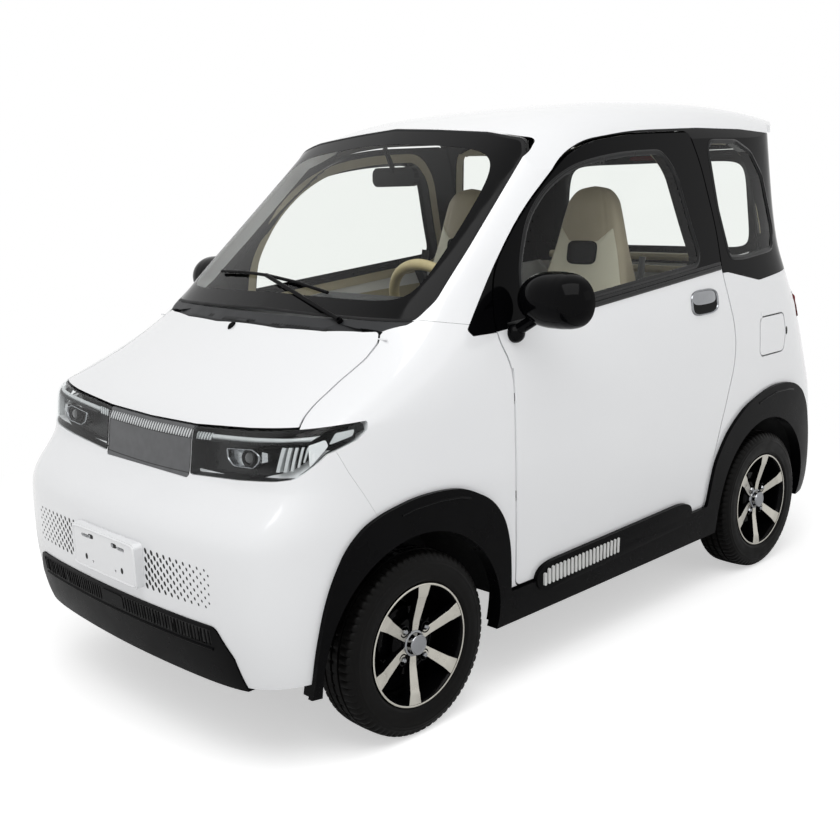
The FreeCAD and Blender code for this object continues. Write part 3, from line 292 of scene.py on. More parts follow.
# Frosted light guide, pale satin acrylic, and the whiter one of the lamps' tips.
FROST = Finish("frosted_acrylic", "window_glass", "bfc2c3", "d2d5d6", 0.22, spread=0.05, coat=0.6,
               relief=Texture.BRUSHED, relief_mm=1.5, depth_mm=0.06, mottle_mm=14.0)
FROST_WHITE = Finish("white_reflector_acrylic", "white_paint", "e4e6e7", "f0f2f3", 0.2, coat=0.8,
                     relief=Texture.BRUSHED, relief_mm=2.0, depth_mm=0.05, mottle_mm=20.0)
# Satin metallised reflector cup.
SATIN_CHROME = Finish("satin_metallised_plastic", "alloy", "a9abad", "c2c4c6", 0.24, metallic=1.0,
                      spread=0.05, relief=Texture.CAST, relief_mm=3.0, depth_mm=0.03, mottle_mm=15.0)
# Dark glass of projector and meter screen.
DARK_LENS = Finish("dark_glass", "window_glass", "0a0b0d", "141619", 0.06, coat=1.0,
                   relief=Texture.ORANGE_PEEL, relief_mm=8.0, depth_mm=0.01)
# Smoked acrylic of the band between the lamps: mid grey, faint upright draw lines.
SMOKED = Finish("smoked_acrylic", "satin_black", "454648", "5b5c5e", 0.14, spread=0.04, ior=1.4,
                relief=Texture.BRUSHED, relief_mm=6.0, depth_mm=0.05, mottle_mm=35.0)
# Ceramic enamel on the glass edges.
ENAMEL = Finish("black_glass_enamel", "gloss_black", "050506", "070708", 0.08, ior=1.2,
                relief=Texture.ORANGE_PEEL, relief_mm=9.0, depth_mm=0.008)
# EPDM seal with a smooth flocked face that catches light.
SEAL_SHINE = Finish("smooth_epdm_seal", "satin_black", "0b0b0c", "111213", 0.3, spread=0.06, ior=1.3,
                    relief_mm=1.4, depth_mm=0.03)
# Pale grey moulded ABS.
PALE = Finish("pale_grey_abs", "trim_plastic", "c6c7c5", "d3d4d2", 0.38, spread=0.05, relief_mm=1.6,
              depth_mm=0.05)
# Silvered mirror glass.
SILVER = Finish("silvered_glass", "alloy", "c9ced0", "d6dadc", 0.03, metallic=1.0, spread=0.01,
                relief=Texture.ORANGE_PEEL, relief_mm=20.0, depth_mm=0.004)
# Bright red of the lamp's inner ring.
RED_BRIGHT = Finish("bright_red_acrylic", "red_lens", "a81820", "8c1218", 0.15, coat=1.0, relief_mm=3.0,
                    depth_mm=0.03)
# Woven polyester webbing of the belts.
WEBBING = Finish("woven_polyester_webbing", "seat_fabric", "101112", "1c1d1f", 0.75, sheen=0.3,
                 relief=Texture.WEAVE, relief_mm=2.0, depth_mm=0.35, mottle_mm=8.0)
# Wrapped leather of the steering rim, with its pores.
RIM_LEATHER = Finish("wrapped_rim_leather", "seat_fabric", "c8b98e", "b9a97d", 0.5, sheen=0.1,
                     relief=Texture.LEATHER, relief_mm=2.4, depth_mm=0.3, mottle_mm=20.0)
# Knitted roof lining.
LINING = Finish("knitted_roof_lining", "trim_plastic", "b9b4a4", "aea998", 0.85, sheen=0.3,
                relief=Texture.WEAVE, relief_mm=2.5, depth_mm=0.3, mottle_mm=30.0)
# Needled carpet of the floor.
CARPET = Finish("needled_carpet", "trim_plastic", "1d1d1e", "2b2b2c", 0.9, sheen=0.4, relief_mm=2.5,
                depth_mm=0.6, mottle_mm=12.0)

NODE_FINISH = {
    "plate_bracket": PAINT, "lamp_panel": SMOKED, "cowl_panel": TRIM, "floor_pan": CARPET, "dashboard": TRIM,
    "luggage_deck": CARPET, "steering_wheel": TRIM, "interior_mirror": PIANO, "headlamp_lenses": LENS,
    "windscreen": GLASS, "seat_bases": TRIM, "lower_grille": MOULDED, "wheel_liners": SEAL,
}

SLOT_FINISH = {
    "white_paint": PAINT, "gloss_black": PIANO, "satin_black": MOULDED, "window_glass": GLASS,
    "red_lens": RED, "frame_steel": STEEL, "pack_case": CASE, "trim_plastic": TRIM,
    "seat_fabric": TAUPE, "alloy": TURNED, "tyre": TYRE,
}


Shape = tuple[np.ndarray, list[list[int]]]


def flat(x: Any, y: Any) -> np.ndarray:
    """Puts two coordinates of points side by side; a single value holds for all the points."""
    return np.stack(np.broadcast_arrays(x, y), axis=1)


def surface(points: np.ndarray, around: bool = True, ring: bool = False) -> Shape:
    """Joins rows of points into a closed surface.

    Args:
        points: n rows of m points, an array of shape (n, m, 3).
        around: each row is a closed loop.
        ring: the last row joins the first; if not, the end rows are capped.

    Returns:
        The points in one list and their faces, each quad joining (i, j), (i+1, j),
        (i+1, j+1) and (i, j+1).
    """
    n, m = points.shape[:2]
    rows = np.arange(n if ring else n - 1)
    along = np.arange(m if around else m - 1)
    i, j = np.meshgrid(rows, along, indexing="ij")
    below = (i + 1) % n
    beside = (j + 1) % m
    quads = np.stack([i * m + j, below * m + j, below * m + beside, i * m + beside], axis=-1)
    faces = quads.reshape(-1, 4).tolist()
    if around and not ring:
        faces.append(list(range(m)))
        faces.append(list(range((n - 1) * m, n * m)))
    return points.reshape(-1, 3), faces


def together(shapes: Iterable[Shape]) -> Shape:
    """Puts several shapes in one; each one's faces count on from the points before it."""
    points = []
    faces = []
    start = 0
    for cloud, loops in shapes:
        points.append(cloud)
        faces.extend([[i + start for i in loop] for loop in loops])
        start += len(cloud)
    return np.concatenate(points), faces


def mirrored(shape: Shape) -> Shape:
    """The same shape on the other side of the car, x turned to -x."""
    return shape[0] * np.array([-1.0, 1.0, 1.0]), shape[1]


def both(shape: Shape) -> Shape:
    """The shape and its mirror image."""
    return together([shape, mirrored(shape)])


def spun(profile: Sequence[Sequence[float]], centre: Sequence[float], sides: int = 48,
         side: float = 1.0) -> Shape:
    """Turns a closed profile round an axis along x.

    Args:
        profile: (x, radius) pairs in mm, the loop closed.
        centre: the axis's point, in metres.
        sides: steps round the axis.
        side: 1, or -1 to turn the profile's x over.

    Returns:
        The ring (x, r cos a, r sin a) for all a.
    """
    out, radius = np.array(profile, float).T * MM
    turn = np.linspace(0.0, TAU, sides, endpoint=False)[:, None]
    x = np.broadcast_to(out * side, (sides, len(out)))
    points = np.stack([x, radius * np.cos(turn), radius * np.sin(turn)], axis=-1)
    return surface(points + np.array(centre), ring=True)


def tube(path: np.ndarray, radius: Any, sides: int = 12, squash: float = 1.0, ring: bool = False) -> Shape:
    """Carries a circle along a path.

    Args:
        path: (n, 3) points in metres.
        radius: one radius or n of them, in metres.
        sides: points round the circle.
        squash: the section's second half axis as a share of its first.
        ring: the path is closed.

    Returns:
        Points p + r(cos a · side + squash · sin a · up), side and up square to the path.
    """
    path = np.array(path, float)
    if ring:
        way = np.roll(path, -1, axis=0) - np.roll(path, 1, axis=0)
    else:
        way = np.gradient(path, axis=0)
    way = way / np.linalg.norm(way, axis=1)[:, None]
    spare = np.eye(3)[int(np.argmin(np.abs(way).mean(axis=0)))]
    side = np.cross(way, spare)
    side = side / np.linalg.norm(side, axis=1)[:, None]
    up = np.cross(side, way)
    turn = np.linspace(0.0, TAU, sides, endpoint=False)
    size = np.broadcast_to(np.array(radius, float), (len(path),))[:, None, None]
    lift = np.cos(turn)[None, :, None] * side[:, None] + squash * np.sin(turn)[None, :, None] * up[:, None]
    return surface(path[:, None] + size * lift, ring=ring)


def even(loop: Sequence[Sequence[float]], count: int, closed: bool = True) -> np.ndarray:
    """Spaces points evenly along an outline, by its running length."""
    line = np.array(loop, float)
    if closed:
        line = np.concatenate([line, line[:1]])
    steps = np.linalg.norm(np.diff(line, axis=0), axis=1)
    run = np.concatenate([[0.0], np.cumsum(steps)])
    at = np.linspace(0.0, run[-1], count, endpoint=not closed)
    return np.stack([np.interp(at, run, line[:, k]) for k in range(line.shape[1])], axis=1)


def softened(loop: np.ndarray, reach: int) -> np.ndarray:
    """Rounds a closed loop's corners: each point is the mean of reach neighbours each way, twice."""
    out = loop
    for _ in range(2):
        out = np.mean([np.roll(out, k, axis=0) for k in range(-reach, reach + 1)], axis=0)
    return out


def grown(loop: np.ndarray, by: float) -> np.ndarray:
    """Moves a closed flat loop outwards by a distance along its normals."""
    way = np.roll(loop, -1, axis=0) - np.roll(loop, 1, axis=0)
    way = way / np.linalg.norm(way, axis=1)[:, None]
    area = np.sum(loop[:, 0] * np.roll(loop[:, 1], -1) - np.roll(loop[:, 0], -1) * loop[:, 1])
    turn = math.copysign(1.0, area)
    return loop + by * turn * np.stack([way[:, 1], -way[:, 0]], axis=1)


def corners_of(names: Sequence[str]) -> tuple[np.ndarray, np.ndarray]:
    """The corner points and corner normals of some CAD nodes' triangles, each (n, 3, 3)."""
    points = []
    normals = []
    for name in names:
        mesh = bpy.data.objects[name].data
        mesh.calc_loop_triangles()
        cloud = np.empty(len(mesh.vertices) * 3)
        mesh.vertices.foreach_get("co", cloud)
        index = np.empty(len(mesh.loops), np.int32)
        mesh.loops.foreach_get("vertex_index", index)
        facing = np.empty(len(mesh.loops) * 3)
        mesh.corner_normals.foreach_get("vector", facing)
        corners = np.empty(len(mesh.loop_triangles) * 3, np.int32)
        mesh.loop_triangles.foreach_get("loops", corners)
        points.append(cloud.reshape(-1, 3)[index][corners].reshape(-1, 3, 3))
        normals.append(facing.reshape(-1, 3)[corners].reshape(-1, 3, 3))
    return np.concatenate(points), np.concatenate(normals)


class Look(Enum):
    """The way a piece is laid on: the axis it is dropped along, and its sign."""

    LEFT = (0, 1.0)
    FRONT = (1, -1.0)
    REAR = (1, 1.0)
    TOP = (2, 1.0)


class Skin:
    """The outside of some CAD nodes, for laying thin pieces on.

    A point of the flat view is dropped on the triangle farthest out, at
    p = w0·a + w1·b + w2·c with its barycentric weights; where no triangle is
    under it, it takes the depth of the nearest point that has one. A side view
    keeps to its own half of the car.
    """

    # Triangles steeper than this share of facing the look are left out.
    least_slope = 0.12
    # Triangles farther than this from the wanted points are left out, in metres.
    margin = 0.03
    # Points that are dropped in one go.
    block = 400
    # How far outside a triangle a point still counts as on it, as a share of its size.
    slack = 1e-5
    # What a triangle under the point scores over the near misses.
    bonus = 100.0

    def __init__(self, names: Sequence[str], look: Look) -> None:
        """Keeps the triangles that face the look."""
        self.axis, self.sign = look.value
        self.plane = [k for k in range(3) if k != self.axis]
        corners, normals = corners_of(names)
        across = np.cross(corners[:, 1] - corners[:, 0], corners[:, 2] - corners[:, 0])
        size = np.linalg.norm(across, axis=1)
        facing = across[:, self.axis] * self.sign > self.least_slope * np.maximum(size, TINY)
        if self.axis == 0:
            facing &= corners[:, :, 0].mean(axis=1) * self.sign > 0.0
        self.corners = corners[facing]
        self.normals = normals[facing]

    def drop(self, spots: np.ndarray) -> tuple[np.ndarray, np.ndarray]:
        """Drops flat points on the skin.

        Args:
            spots: (..., 2) points in the flat view.

        Returns:
            Points and unit normals, each (..., 3).
        """
        want = spots.reshape(-1, 2)
        low = want.min(axis=0) - self.margin
        high = want.max(axis=0) + self.margin
        spread = self.corners[:, :, self.plane]
        near = np.all((spread.max(axis=1) > low) & (spread.min(axis=1) < high), axis=1)
        corners = self.corners[near]
        normals = self.normals[near]
        spread = spread[near]
        first = spread[:, 1] - spread[:, 0]
        second = spread[:, 2] - spread[:, 0]
        area = first[:, 0] * second[:, 1] - first[:, 1] * second[:, 0]
        area = np.where(np.abs(area) < TINY, TINY, area)
        points = []
        facing = []
        found = []
        for part in np.array_split(want, max(1, len(want) // self.block)):
            away = part[:, None] - spread[None, :, 0]
            w1 = (away[..., 0] * second[:, 1] - away[..., 1] * second[:, 0]) / area
            w2 = (first[:, 0] * away[..., 1] - first[:, 1] * away[..., 0]) / area
            w0 = 1.0 - w1 - w2
            least = np.minimum(np.minimum(w0, w1), w2)
            height = sum(w * corners[:, k, self.axis] for k, w in enumerate((w0, w1, w2)))
            inside = least > -self.slack
            score = np.where(inside, self.bonus + self.sign * height, least * np.sqrt(np.abs(area)))
            best = np.argmax(score, axis=1)
            pick = np.arange(len(part))
            weights = np.stack([w0[pick, best], w1[pick, best], w2[pick, best]], axis=1)
            points.append(np.einsum("nk,nkd->nd", weights, corners[best]))
            held = np.clip(weights, 0.0, 1.0)
            facing.append(np.einsum("nk,nkd->nd", held, normals[best]))
            found.append(inside[pick, best])
        out = np.concatenate(points)
        normal = np.concatenate(facing)
        hit = np.concatenate(found)
        if hit.any() and not hit.all():
            apart = ((want[~hit][:, None] - want[hit][None]) ** 2).sum(axis=2)
            nearest = np.argmin(apart, axis=1)
            out[np.ix_(~hit, self.plane)] = want[~hit]
            out[~hit, self.axis] = out[hit][nearest, self.axis]
            normal[~hit] = normal[hit][nearest]
        normal = normal / np.linalg.norm(normal, axis=1)[:, None]
        return out.reshape(*spots.shape[:-1], 3), normal.reshape(*spots.shape[:-1], 3)

    def band(self, outer: np.ndarray, inner: np.ndarray, height: float, depth: float = ROOT, steps: int = 6,
             crown: float = 0.0, ring: bool = True) -> Shape:
        """Lays a strip between two lines.

        Args:
            outer: (n, 2) points of one edge.
            inner: (n, 2) points of the other edge.
            height: how far the strip's edges stand out.
            depth: how far it goes in.
            steps: points across.
            crown: how much higher its middle is than its edges, as a half sine.
            ring: the two lines are closed.

        Returns:
            The strip, height + crown·sin(pi·t) over the skin for t from 0 to 1 across.
        """
        share = np.linspace(0.0, 1.0, steps)
        points, normal = self.drop(outer[:, None] * (1.0 - share)[None, :, None]
                                   + inner[:, None] * share[None, :, None])
        lift = (height + crown * np.sin(math.pi * share))[None, :, None]
        top = points + normal * lift
        low = (points - normal * depth)[:, ::-1]
        return surface(np.concatenate([top, low], axis=1), ring=ring)

    def fill(self, loop: np.ndarray, height: float, depth: float = ROOT, rings: int = 5,
             crown: float = 0.0) -> Shape:
        """Lays a plate inside a closed line.

        Args:
            loop: (n, 2) points of its edge.
            height: how far the plate's edge stands out; negative lies inside.
            depth: how far below the skin its underside is.
            rings: loops between the edge and the middle.
            crown: how much higher the middle is, by 1 - t^3.

        Returns:
            The closed plate; loop k is the edge shrunk to the share t_k of its size.
        """
        share = np.linspace(1.0, 0.02, rings)
        middle = loop.mean(axis=0)
        points, normal = self.drop(middle + (loop - middle)[None] * share[:, None, None])
        lift = (height + crown * (1.0 - share ** 3))[:, None, None]
        top = points + normal * lift
        low = (points - normal * depth)[::-1]
        return surface(np.concatenate([low, top]))

    def studs(self, centres: np.ndarray, half: Any, height: float, depth: float = ROOT, lean: float = 0.0,
              corner: float = 4.0, sides: int = 10) -> Shape:
        """Lays many small rounded plates.

        Args:
            centres: (n, 2) middles in the flat view.
            half: (n, 2) half widths and half heights, or one pair for all.
            height: how far they stand out.
            depth: how far they go in.
            lean: how far the top shifts sideways for one of height.
            corner: power of the rounded box |u|^p + |v|^p = 1.
            sides: points round each one.

        Returns:
            All the plates in one shape.
        """
        turn = np.linspace(0.0, TAU, sides, endpoint=False) + math.pi / sides
        scale = (np.abs(np.cos(turn)) ** corner + np.abs(np.sin(turn)) ** corner) ** (-1.0 / corner)
        unit = np.stack([np.cos(turn) * scale, np.sin(turn) * scale], axis=1)
        half = np.broadcast_to(half, centres.shape)
        spread = centres[:, None] + unit[None] * half[:, None]
        spread[..., 0] += lean * unit[None, :, 1] * half[:, None, 1]
        points, normal = self.drop(spread)
        top = points + normal * height
        low = points - normal * depth
        cloud = np.stack([low, top], axis=1).reshape(-1, 3)
        k = np.arange(sides)
        wall = np.stack([k, (k + 1) % sides, (k + 1) % sides + sides, k + sides], axis=1)
        base = np.arange(len(centres)) * 2 * sides
        walls = (wall[None] + base[:, None, None]).reshape(-1, 4).tolist()
        lids = (k[None] + sides + base[:, None]).tolist() + (k[::-1][None] + base[:, None]).tolist()
        return cloud, walls + lids


def outline(name: str, look: Look, count: int, side: float = 0.0) -> np.ndarray:
    """The outer edge of a CAD node in a flat view.

    Args:
        name: the node.
        look: the view.
        count: points returned, evenly spaced.
        side: 1 keeps the half with x > 0, -1 the other one, 0 all.

    Returns:
        (count, 2) points, the farthest crossing of each ray from the middle with an edge.
    """
    axis = look.value[0]
    plane = [k for k in range(3) if k != axis]
    corners, _ = corners_of([name])
    if side:
        corners = corners[corners[:, :, 0].mean(axis=1) * side > 0.0]
    edges = corners[:, :, plane]
    start = edges.reshape(-1, 2)
    end = np.roll(edges, -1, axis=1).reshape(-1, 2)
    middle = (start.min(axis=0) + start.max(axis=0)) / 2.0
    start = start - middle
    way = end - middle - start
    turn = np.linspace(0.0, TAU, count * 2, endpoint=False)
    out = []
    for block in np.array_split(turn, RAY_BLOCKS):
        aim = np.stack([np.cos(block), np.sin(block)], axis=1)
        cross = aim[:, None, 0] * way[None, :, 1] - aim[:, None, 1] * way[None, :, 0]
        cross = np.where(np.abs(cross) < TINY, TINY, cross)
        reach = (start[None, :, 0] * way[None, :, 1] - start[None, :, 1] * way[None, :, 0]) / cross
        share = (start[None, :, 0] * aim[:, None, 1] - start[None, :, 1] * aim[:, None, 0]) / cross
        good = (share >= -MERGE) & (share <= 1.0 + MERGE) & (reach > 0.0)
        far = np.where(good, reach, 0.0).max(axis=1)
        out.append(middle + aim * far[:, None])
    return even(np.concatenate(out), count)


def oval(centre: Sequence[float], half: Sequence[float], count: int = 40, power: float = 2.0) -> np.ndarray:
    """A rounded box |u/a|^p + |v/b|^p = 1 as a flat loop, power 2 for an ellipse."""
    turn = np.linspace(0.0, TAU, count, endpoint=False)
    scale = (np.abs(np.cos(turn)) ** power + np.abs(np.sin(turn)) ** power) ** (-1.0 / power)
    return np.array(centre) + flat(np.cos(turn) * half[0] * scale, np.sin(turn) * half[1] * scale)


def piece(name: str, shape: Shape, finish: Finish, body: str = "body", slot: str = "", sharp: float = 38.0,
          bevel: float = 0.0, levels: int = 0, replaces: Sequence[str] = ()) -> Any:
    """Makes one object of the car from a shape.

    Args:
        name: the piece's name.
        shape: its points and faces.
        finish: the finish that dresses it.
        body: the CAD body that it rides on.
        slot: the record's material slot, where it isn't the finish's own; not used.
        sharp: edges over this angle in degrees stay crisp.
        bevel: width of rounded edges, in metres.
        levels: subdivision levels.
        replaces: CAD nodes that it stands for.

    Returns:
        The object, with doubles merged and faces turned outwards.
    """
    mesh = bpy.data.meshes.new(name)
    mesh.from_pydata(shape[0].tolist(), [], shape[1])
    work = bmesh.new()
    work.from_mesh(mesh)
    bmesh.ops.remove_doubles(work, verts=work.verts, dist=MERGE)
    bmesh.ops.recalc_face_normals(work, faces=work.faces)
    work.to_mesh(mesh)
    work.free()
    mesh.polygons.foreach_set("use_smooth", np.ones(len(mesh.polygons), bool))
    mesh.set_sharp_from_angle(angle=math.radians(sharp))
    mesh.materials.append(finish.make())
    made = bpy.data.objects.new(name, mesh)
    bpy.context.scene.collection.objects.link(made)
    if bevel > 0.0:
        edge = made.modifiers.new("edges", "BEVEL")
        edge.width = bevel
        edge.segments = BEVEL_STEPS
        edge.angle_limit = math.radians(BEVEL_ANGLE)
        edge.harden_normals = True
    if levels:
        smooth = made.modifiers.new("smooth", "SUBSURF")
        smooth.levels = levels
        smooth.render_levels = levels
    slot = slot or finish.slot
    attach(made, body)
    if replaces:
        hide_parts(*replaces)
    log.info("%s: %d points on %s in %s", name, len(mesh.vertices), body, finish.name)
    return made


def on_doors(name: str, shape: Shape, finish: Finish, stands_for: str = "", **how: Any) -> None:
    """Makes a piece of the left door, and its mirror image on the right door.

    Args:
        name: the pieces' name before their hand.
        shape: the left door's piece.
        finish: the finish that dresses both.
        stands_for: the CAD node that each one stands for, with {} for its hand.
        how: the further settings of both.
    """
    for hand, turned in (("left", shape), ("right", mirrored(shape))):
        replaces = [stands_for.format(hand)] if stands_for else []
        piece(f"{name}_{hand}", turned, finish, f"door_{hand}", replaces=replaces, **how)


@dataclass
class Wheel:
    """One road wheel: tyre, black barrel, six machined spokes, chrome cap and nuts. Sizes in mm."""

    row: str
    hand: str
    along: float
    track_half: float = 598.0
    axle_height: float = 254.0
    spokes: int = 6
    first_spoke: float = 81.0
    nut_circle: float = 55.0
    nuts: int = 4
    first_nut: float = 38.0
    cap_radius: float = 30.0
    lip_radius: float = 167.0
    chamfer: float = 0.7
    draft: float = 0.1
    steps: int = 288
    shoulder_every: int = 4
    shoulder_cut: float = 1.25
    middle_every: int = 6
    middle_cut: float = 1.2
    middle_half: float = 25.0

    @property
    def place(self) -> str:
        """The wheel's place as the names say it."""
        return f"{self.row}_{self.hand}"

    @property
    def body(self) -> str:
        """The CAD body of this wheel."""
        return f"wheel_{self.place}"

    @property
    def side(self) -> float:
        """1 on the left, -1 on the right."""
        return 1.0 if self.hand == "left" else -1.0

    @property
    def centre(self) -> np.ndarray:
        """The wheel's middle, in metres."""
        return np.array([self.side * self.track_half, self.along, self.axle_height]) * MM

    def placed(self, outward: np.ndarray, radius: np.ndarray, turn: np.ndarray) -> np.ndarray:
        """Points from wheel coordinates: outward along the axle, radius and angle, in mm and radians."""
        rows = np.broadcast_arrays(outward * self.side, radius * np.cos(turn), radius * np.sin(turn))
        return np.stack(rows, axis=-1) * MM + self.centre

    def tyre(self) -> None:
        """Builds the tyre.

        The wall is a profile of (outward, radius, share of the cut). The tread has
        three grooves round it, and every fourth step across its shoulders and every
        sixth across its middle ribs is a cut: r = R(v) - cut(k)·share(v).
        """
        wall = [(52, 167.5, 0), (59, 168.5, 0), (63.5, 172, 0), (66.5, 177, 0), (68.6, 179.4, 0),
                (69.4, 183, 0), (69.2, 186, 0), (70.2, 194, 0), (70.8, 203, 0), (70.4, 213, 0),
                (69.6, 219.4, 0), (70.0, 221, 0), (69.0, 222.6, 0), (67.2, 228.4, 0), (67.3, 229.6, 0),
                (66.2, 230.8, 0), (64.2, 236.5, 2.2), (61.6, 241.4, 3.4), (58.6, 245.6, 4.0),
                (55.6, 248.9, 4.2), (52.2, 250.8, 4.2), (44, 252.2, 4.0), (33, 253.1, 3.8), (29.2, 253.2, 0),
                (28.4, 246.6, 0), (22.6, 246.8, 0), (21.8, 253.5, 0), (12, 253.8, 2.6), (4.2, 254, 2.6),
                (3.4, 247.2, 0)]
        half = np.array(wall, float)
        other = half[::-1] * np.array([-1.0, 1.0, 1.0])
        profile = np.concatenate([half, other])
        count = np.arange(self.steps)
        shoulder = self.shoulder_cut * (count % self.shoulder_every == 0).astype(float)[:, None]
        middle = self.middle_cut * (count % self.middle_every == 2).astype(float)[:, None]
        outer = np.abs(profile[:, 0]) > self.middle_half
        cut = np.where(outer, shoulder, middle) * profile[:, 2]
        turn = (count * TAU / self.steps)[:, None]
        points = self.placed(profile[:, 0], profile[:, 1] - cut, turn)
        piece(f"tyre_tread_{self.place}", surface(points, ring=True), TYRE, self.body, sharp=50.0,
              replaces=[f"tyre_{self.place}"])

    def barrel(self) -> None:
        """Builds the painted barrel with the disc that carries the spokes, and the bare lip."""
        barrel = [(64.5, 168.6), (65.6, 166.4), (64.6, 164), (60, 161), (44, 156.5), (8, 153), (-44, 152),
                  (-57, 159), (-61, 168.6), (-57, 168.8), (-50, 163), (-34, 157), (8, 158), (44, 161.5),
                  (58, 166)]
        disc = [(33, 0), (34, 30), (34, 64), (30, 70), (22, 71), (16, 62), (14, 0)]
        drum = [(10, 40), (10, 94), (6, 99), (-26, 99), (-26, 95), (2, 91), (2, 40)]
        # Behind the drum, a black disc out to the barrel stands for the backing plate and, beyond it, the
        # shade inside the wheel: partly painted shade.
        backing_plate_and_shade = [(-28, 20), (-28, 151), (-32, 153), (-34, 151), (-34, 20)]
        shapes = [spun(barrel, self.centre, 96, self.side), spun(disc, self.centre, 64, self.side),
                  spun(drum, self.centre, 64, self.side), spun(backing_plate_and_shade, self.centre, 64, self.side)]
        piece(f"rim_barrel_{self.place}", together(shapes), PIANO, self.body, replaces=[f"rim_{self.place}"])
        lip = [(65.4, 168.9), (66.4, 167.6), (66.5, 165.6), (65.6, 163.8), (64.6, 164.4), (64.8, 168.2)]
        piece(f"rim_lip_{self.place}", spun(lip, self.centre, 128, self.side), TURNED, self.body)

    def spoke_rows(self, spread: float, lift: float, sink: float) -> Shape:
        """Carries the spokes' section from the hub to the lip.

        Args:
            spread: added to the half width, w(s).
            lift: added to the face's height, x(s).
            sink: thickness below the face; 0 gives the full depth of the casting.

        Returns:
            Six bars with the section (±w, x), the face sloping down from r 130 to the hub.
        """
        run = np.array([20.0, 34, 48, 62, 78, 94, 110, 124, 129, 134, 146, 156, 166])
        width = np.interp(run, [20, 45, 129, 134, 150, 166], [11.0, 12.6, 17.4, 18.6, 21.0, 24.0]) + spread
        face = np.interp(run, [20, 60, 126, 133, 166], [40.0, 42.5, 57.6, 60.2, 64.0]) + lift
        deep = np.interp(run, [20, 166], [20.0, 16.0]) if sink == 0.0 else np.full(len(run), sink)
        foot = width + deep * self.draft
        top = width - self.chamfer
        brow = face - self.chamfer
        across = np.stack([-top, top, width, foot, -foot, -width], axis=1)
        height = np.stack([face, face, brow, face - deep, face - deep, brow], axis=1)
        shapes = []
        for k in range(self.spokes):
            aim = math.radians(self.first_spoke + 360.0 / self.spokes * k)
            radial = np.hypot(run[:, None], across)
            turn = aim + np.arctan2(across, run[:, None])
            held = np.minimum(radial, self.lip_radius)
            shapes.append(surface(self.placed(height, held, turn)))
        return together(shapes)

    def spoke_set(self) -> None:
        """Builds the six spokes: black casting with a turned face on each."""
        piece(f"spoke_castings_{self.place}", self.spoke_rows(0.0, 0.0, 0.0), PIANO, self.body, bevel=0.0008)
        piece(f"spoke_faces_{self.place}", self.spoke_rows(-0.9, 0.35, 0.8), TURNED, self.body)

    def hub(self) -> None:
        """Builds the cap and the four six-sided nuts in their cups."""
        r = self.cap_radius
        cap = [(30, 0), (30, r + 7), (38, r + 8), (43, r + 5.5), (44.5, r + 1.0), (52, r), (57, r - 0.8),
               (60, r - 2.6), (60.8, r - 5.0), (59.6, r - 6.2), (59.8, r - 12.0), (60.0, 0)]
        shapes = [spun(cap, self.centre, 64, self.side)]
        cups = []
        for k in range(self.nuts):
            aim = math.radians(self.first_nut + 360.0 / self.nuts * k)
            place = self.centre + np.array([0.0, math.cos(aim), math.sin(aim)]) * self.nut_circle * MM
            nut = [(30, 0), (30, 9.6), (43, 9.6), (47.5, 8.0), (50.6, 5.0), (51.6, 0)]
            cup = [(34, 13.0), (43.0, 13.2), (44.0, 15.0), (43.0, 16.8), (33, 17.4), (33, 13.0)]
            shapes.append(spun(nut, place, 6, self.side))
            cups.append(spun(cup, place, 24, self.side))
        piece(f"cap_and_nuts_{self.place}", together(shapes), CHROME, self.body, sharp=30.0)
        piece(f"nut_cups_{self.place}", together(cups), PIANO, self.body)

    def build(self) -> None:
        """Builds every piece of the wheel."""
        self.tyre()
        self.barrel()
        self.spoke_set()
        self.hub()


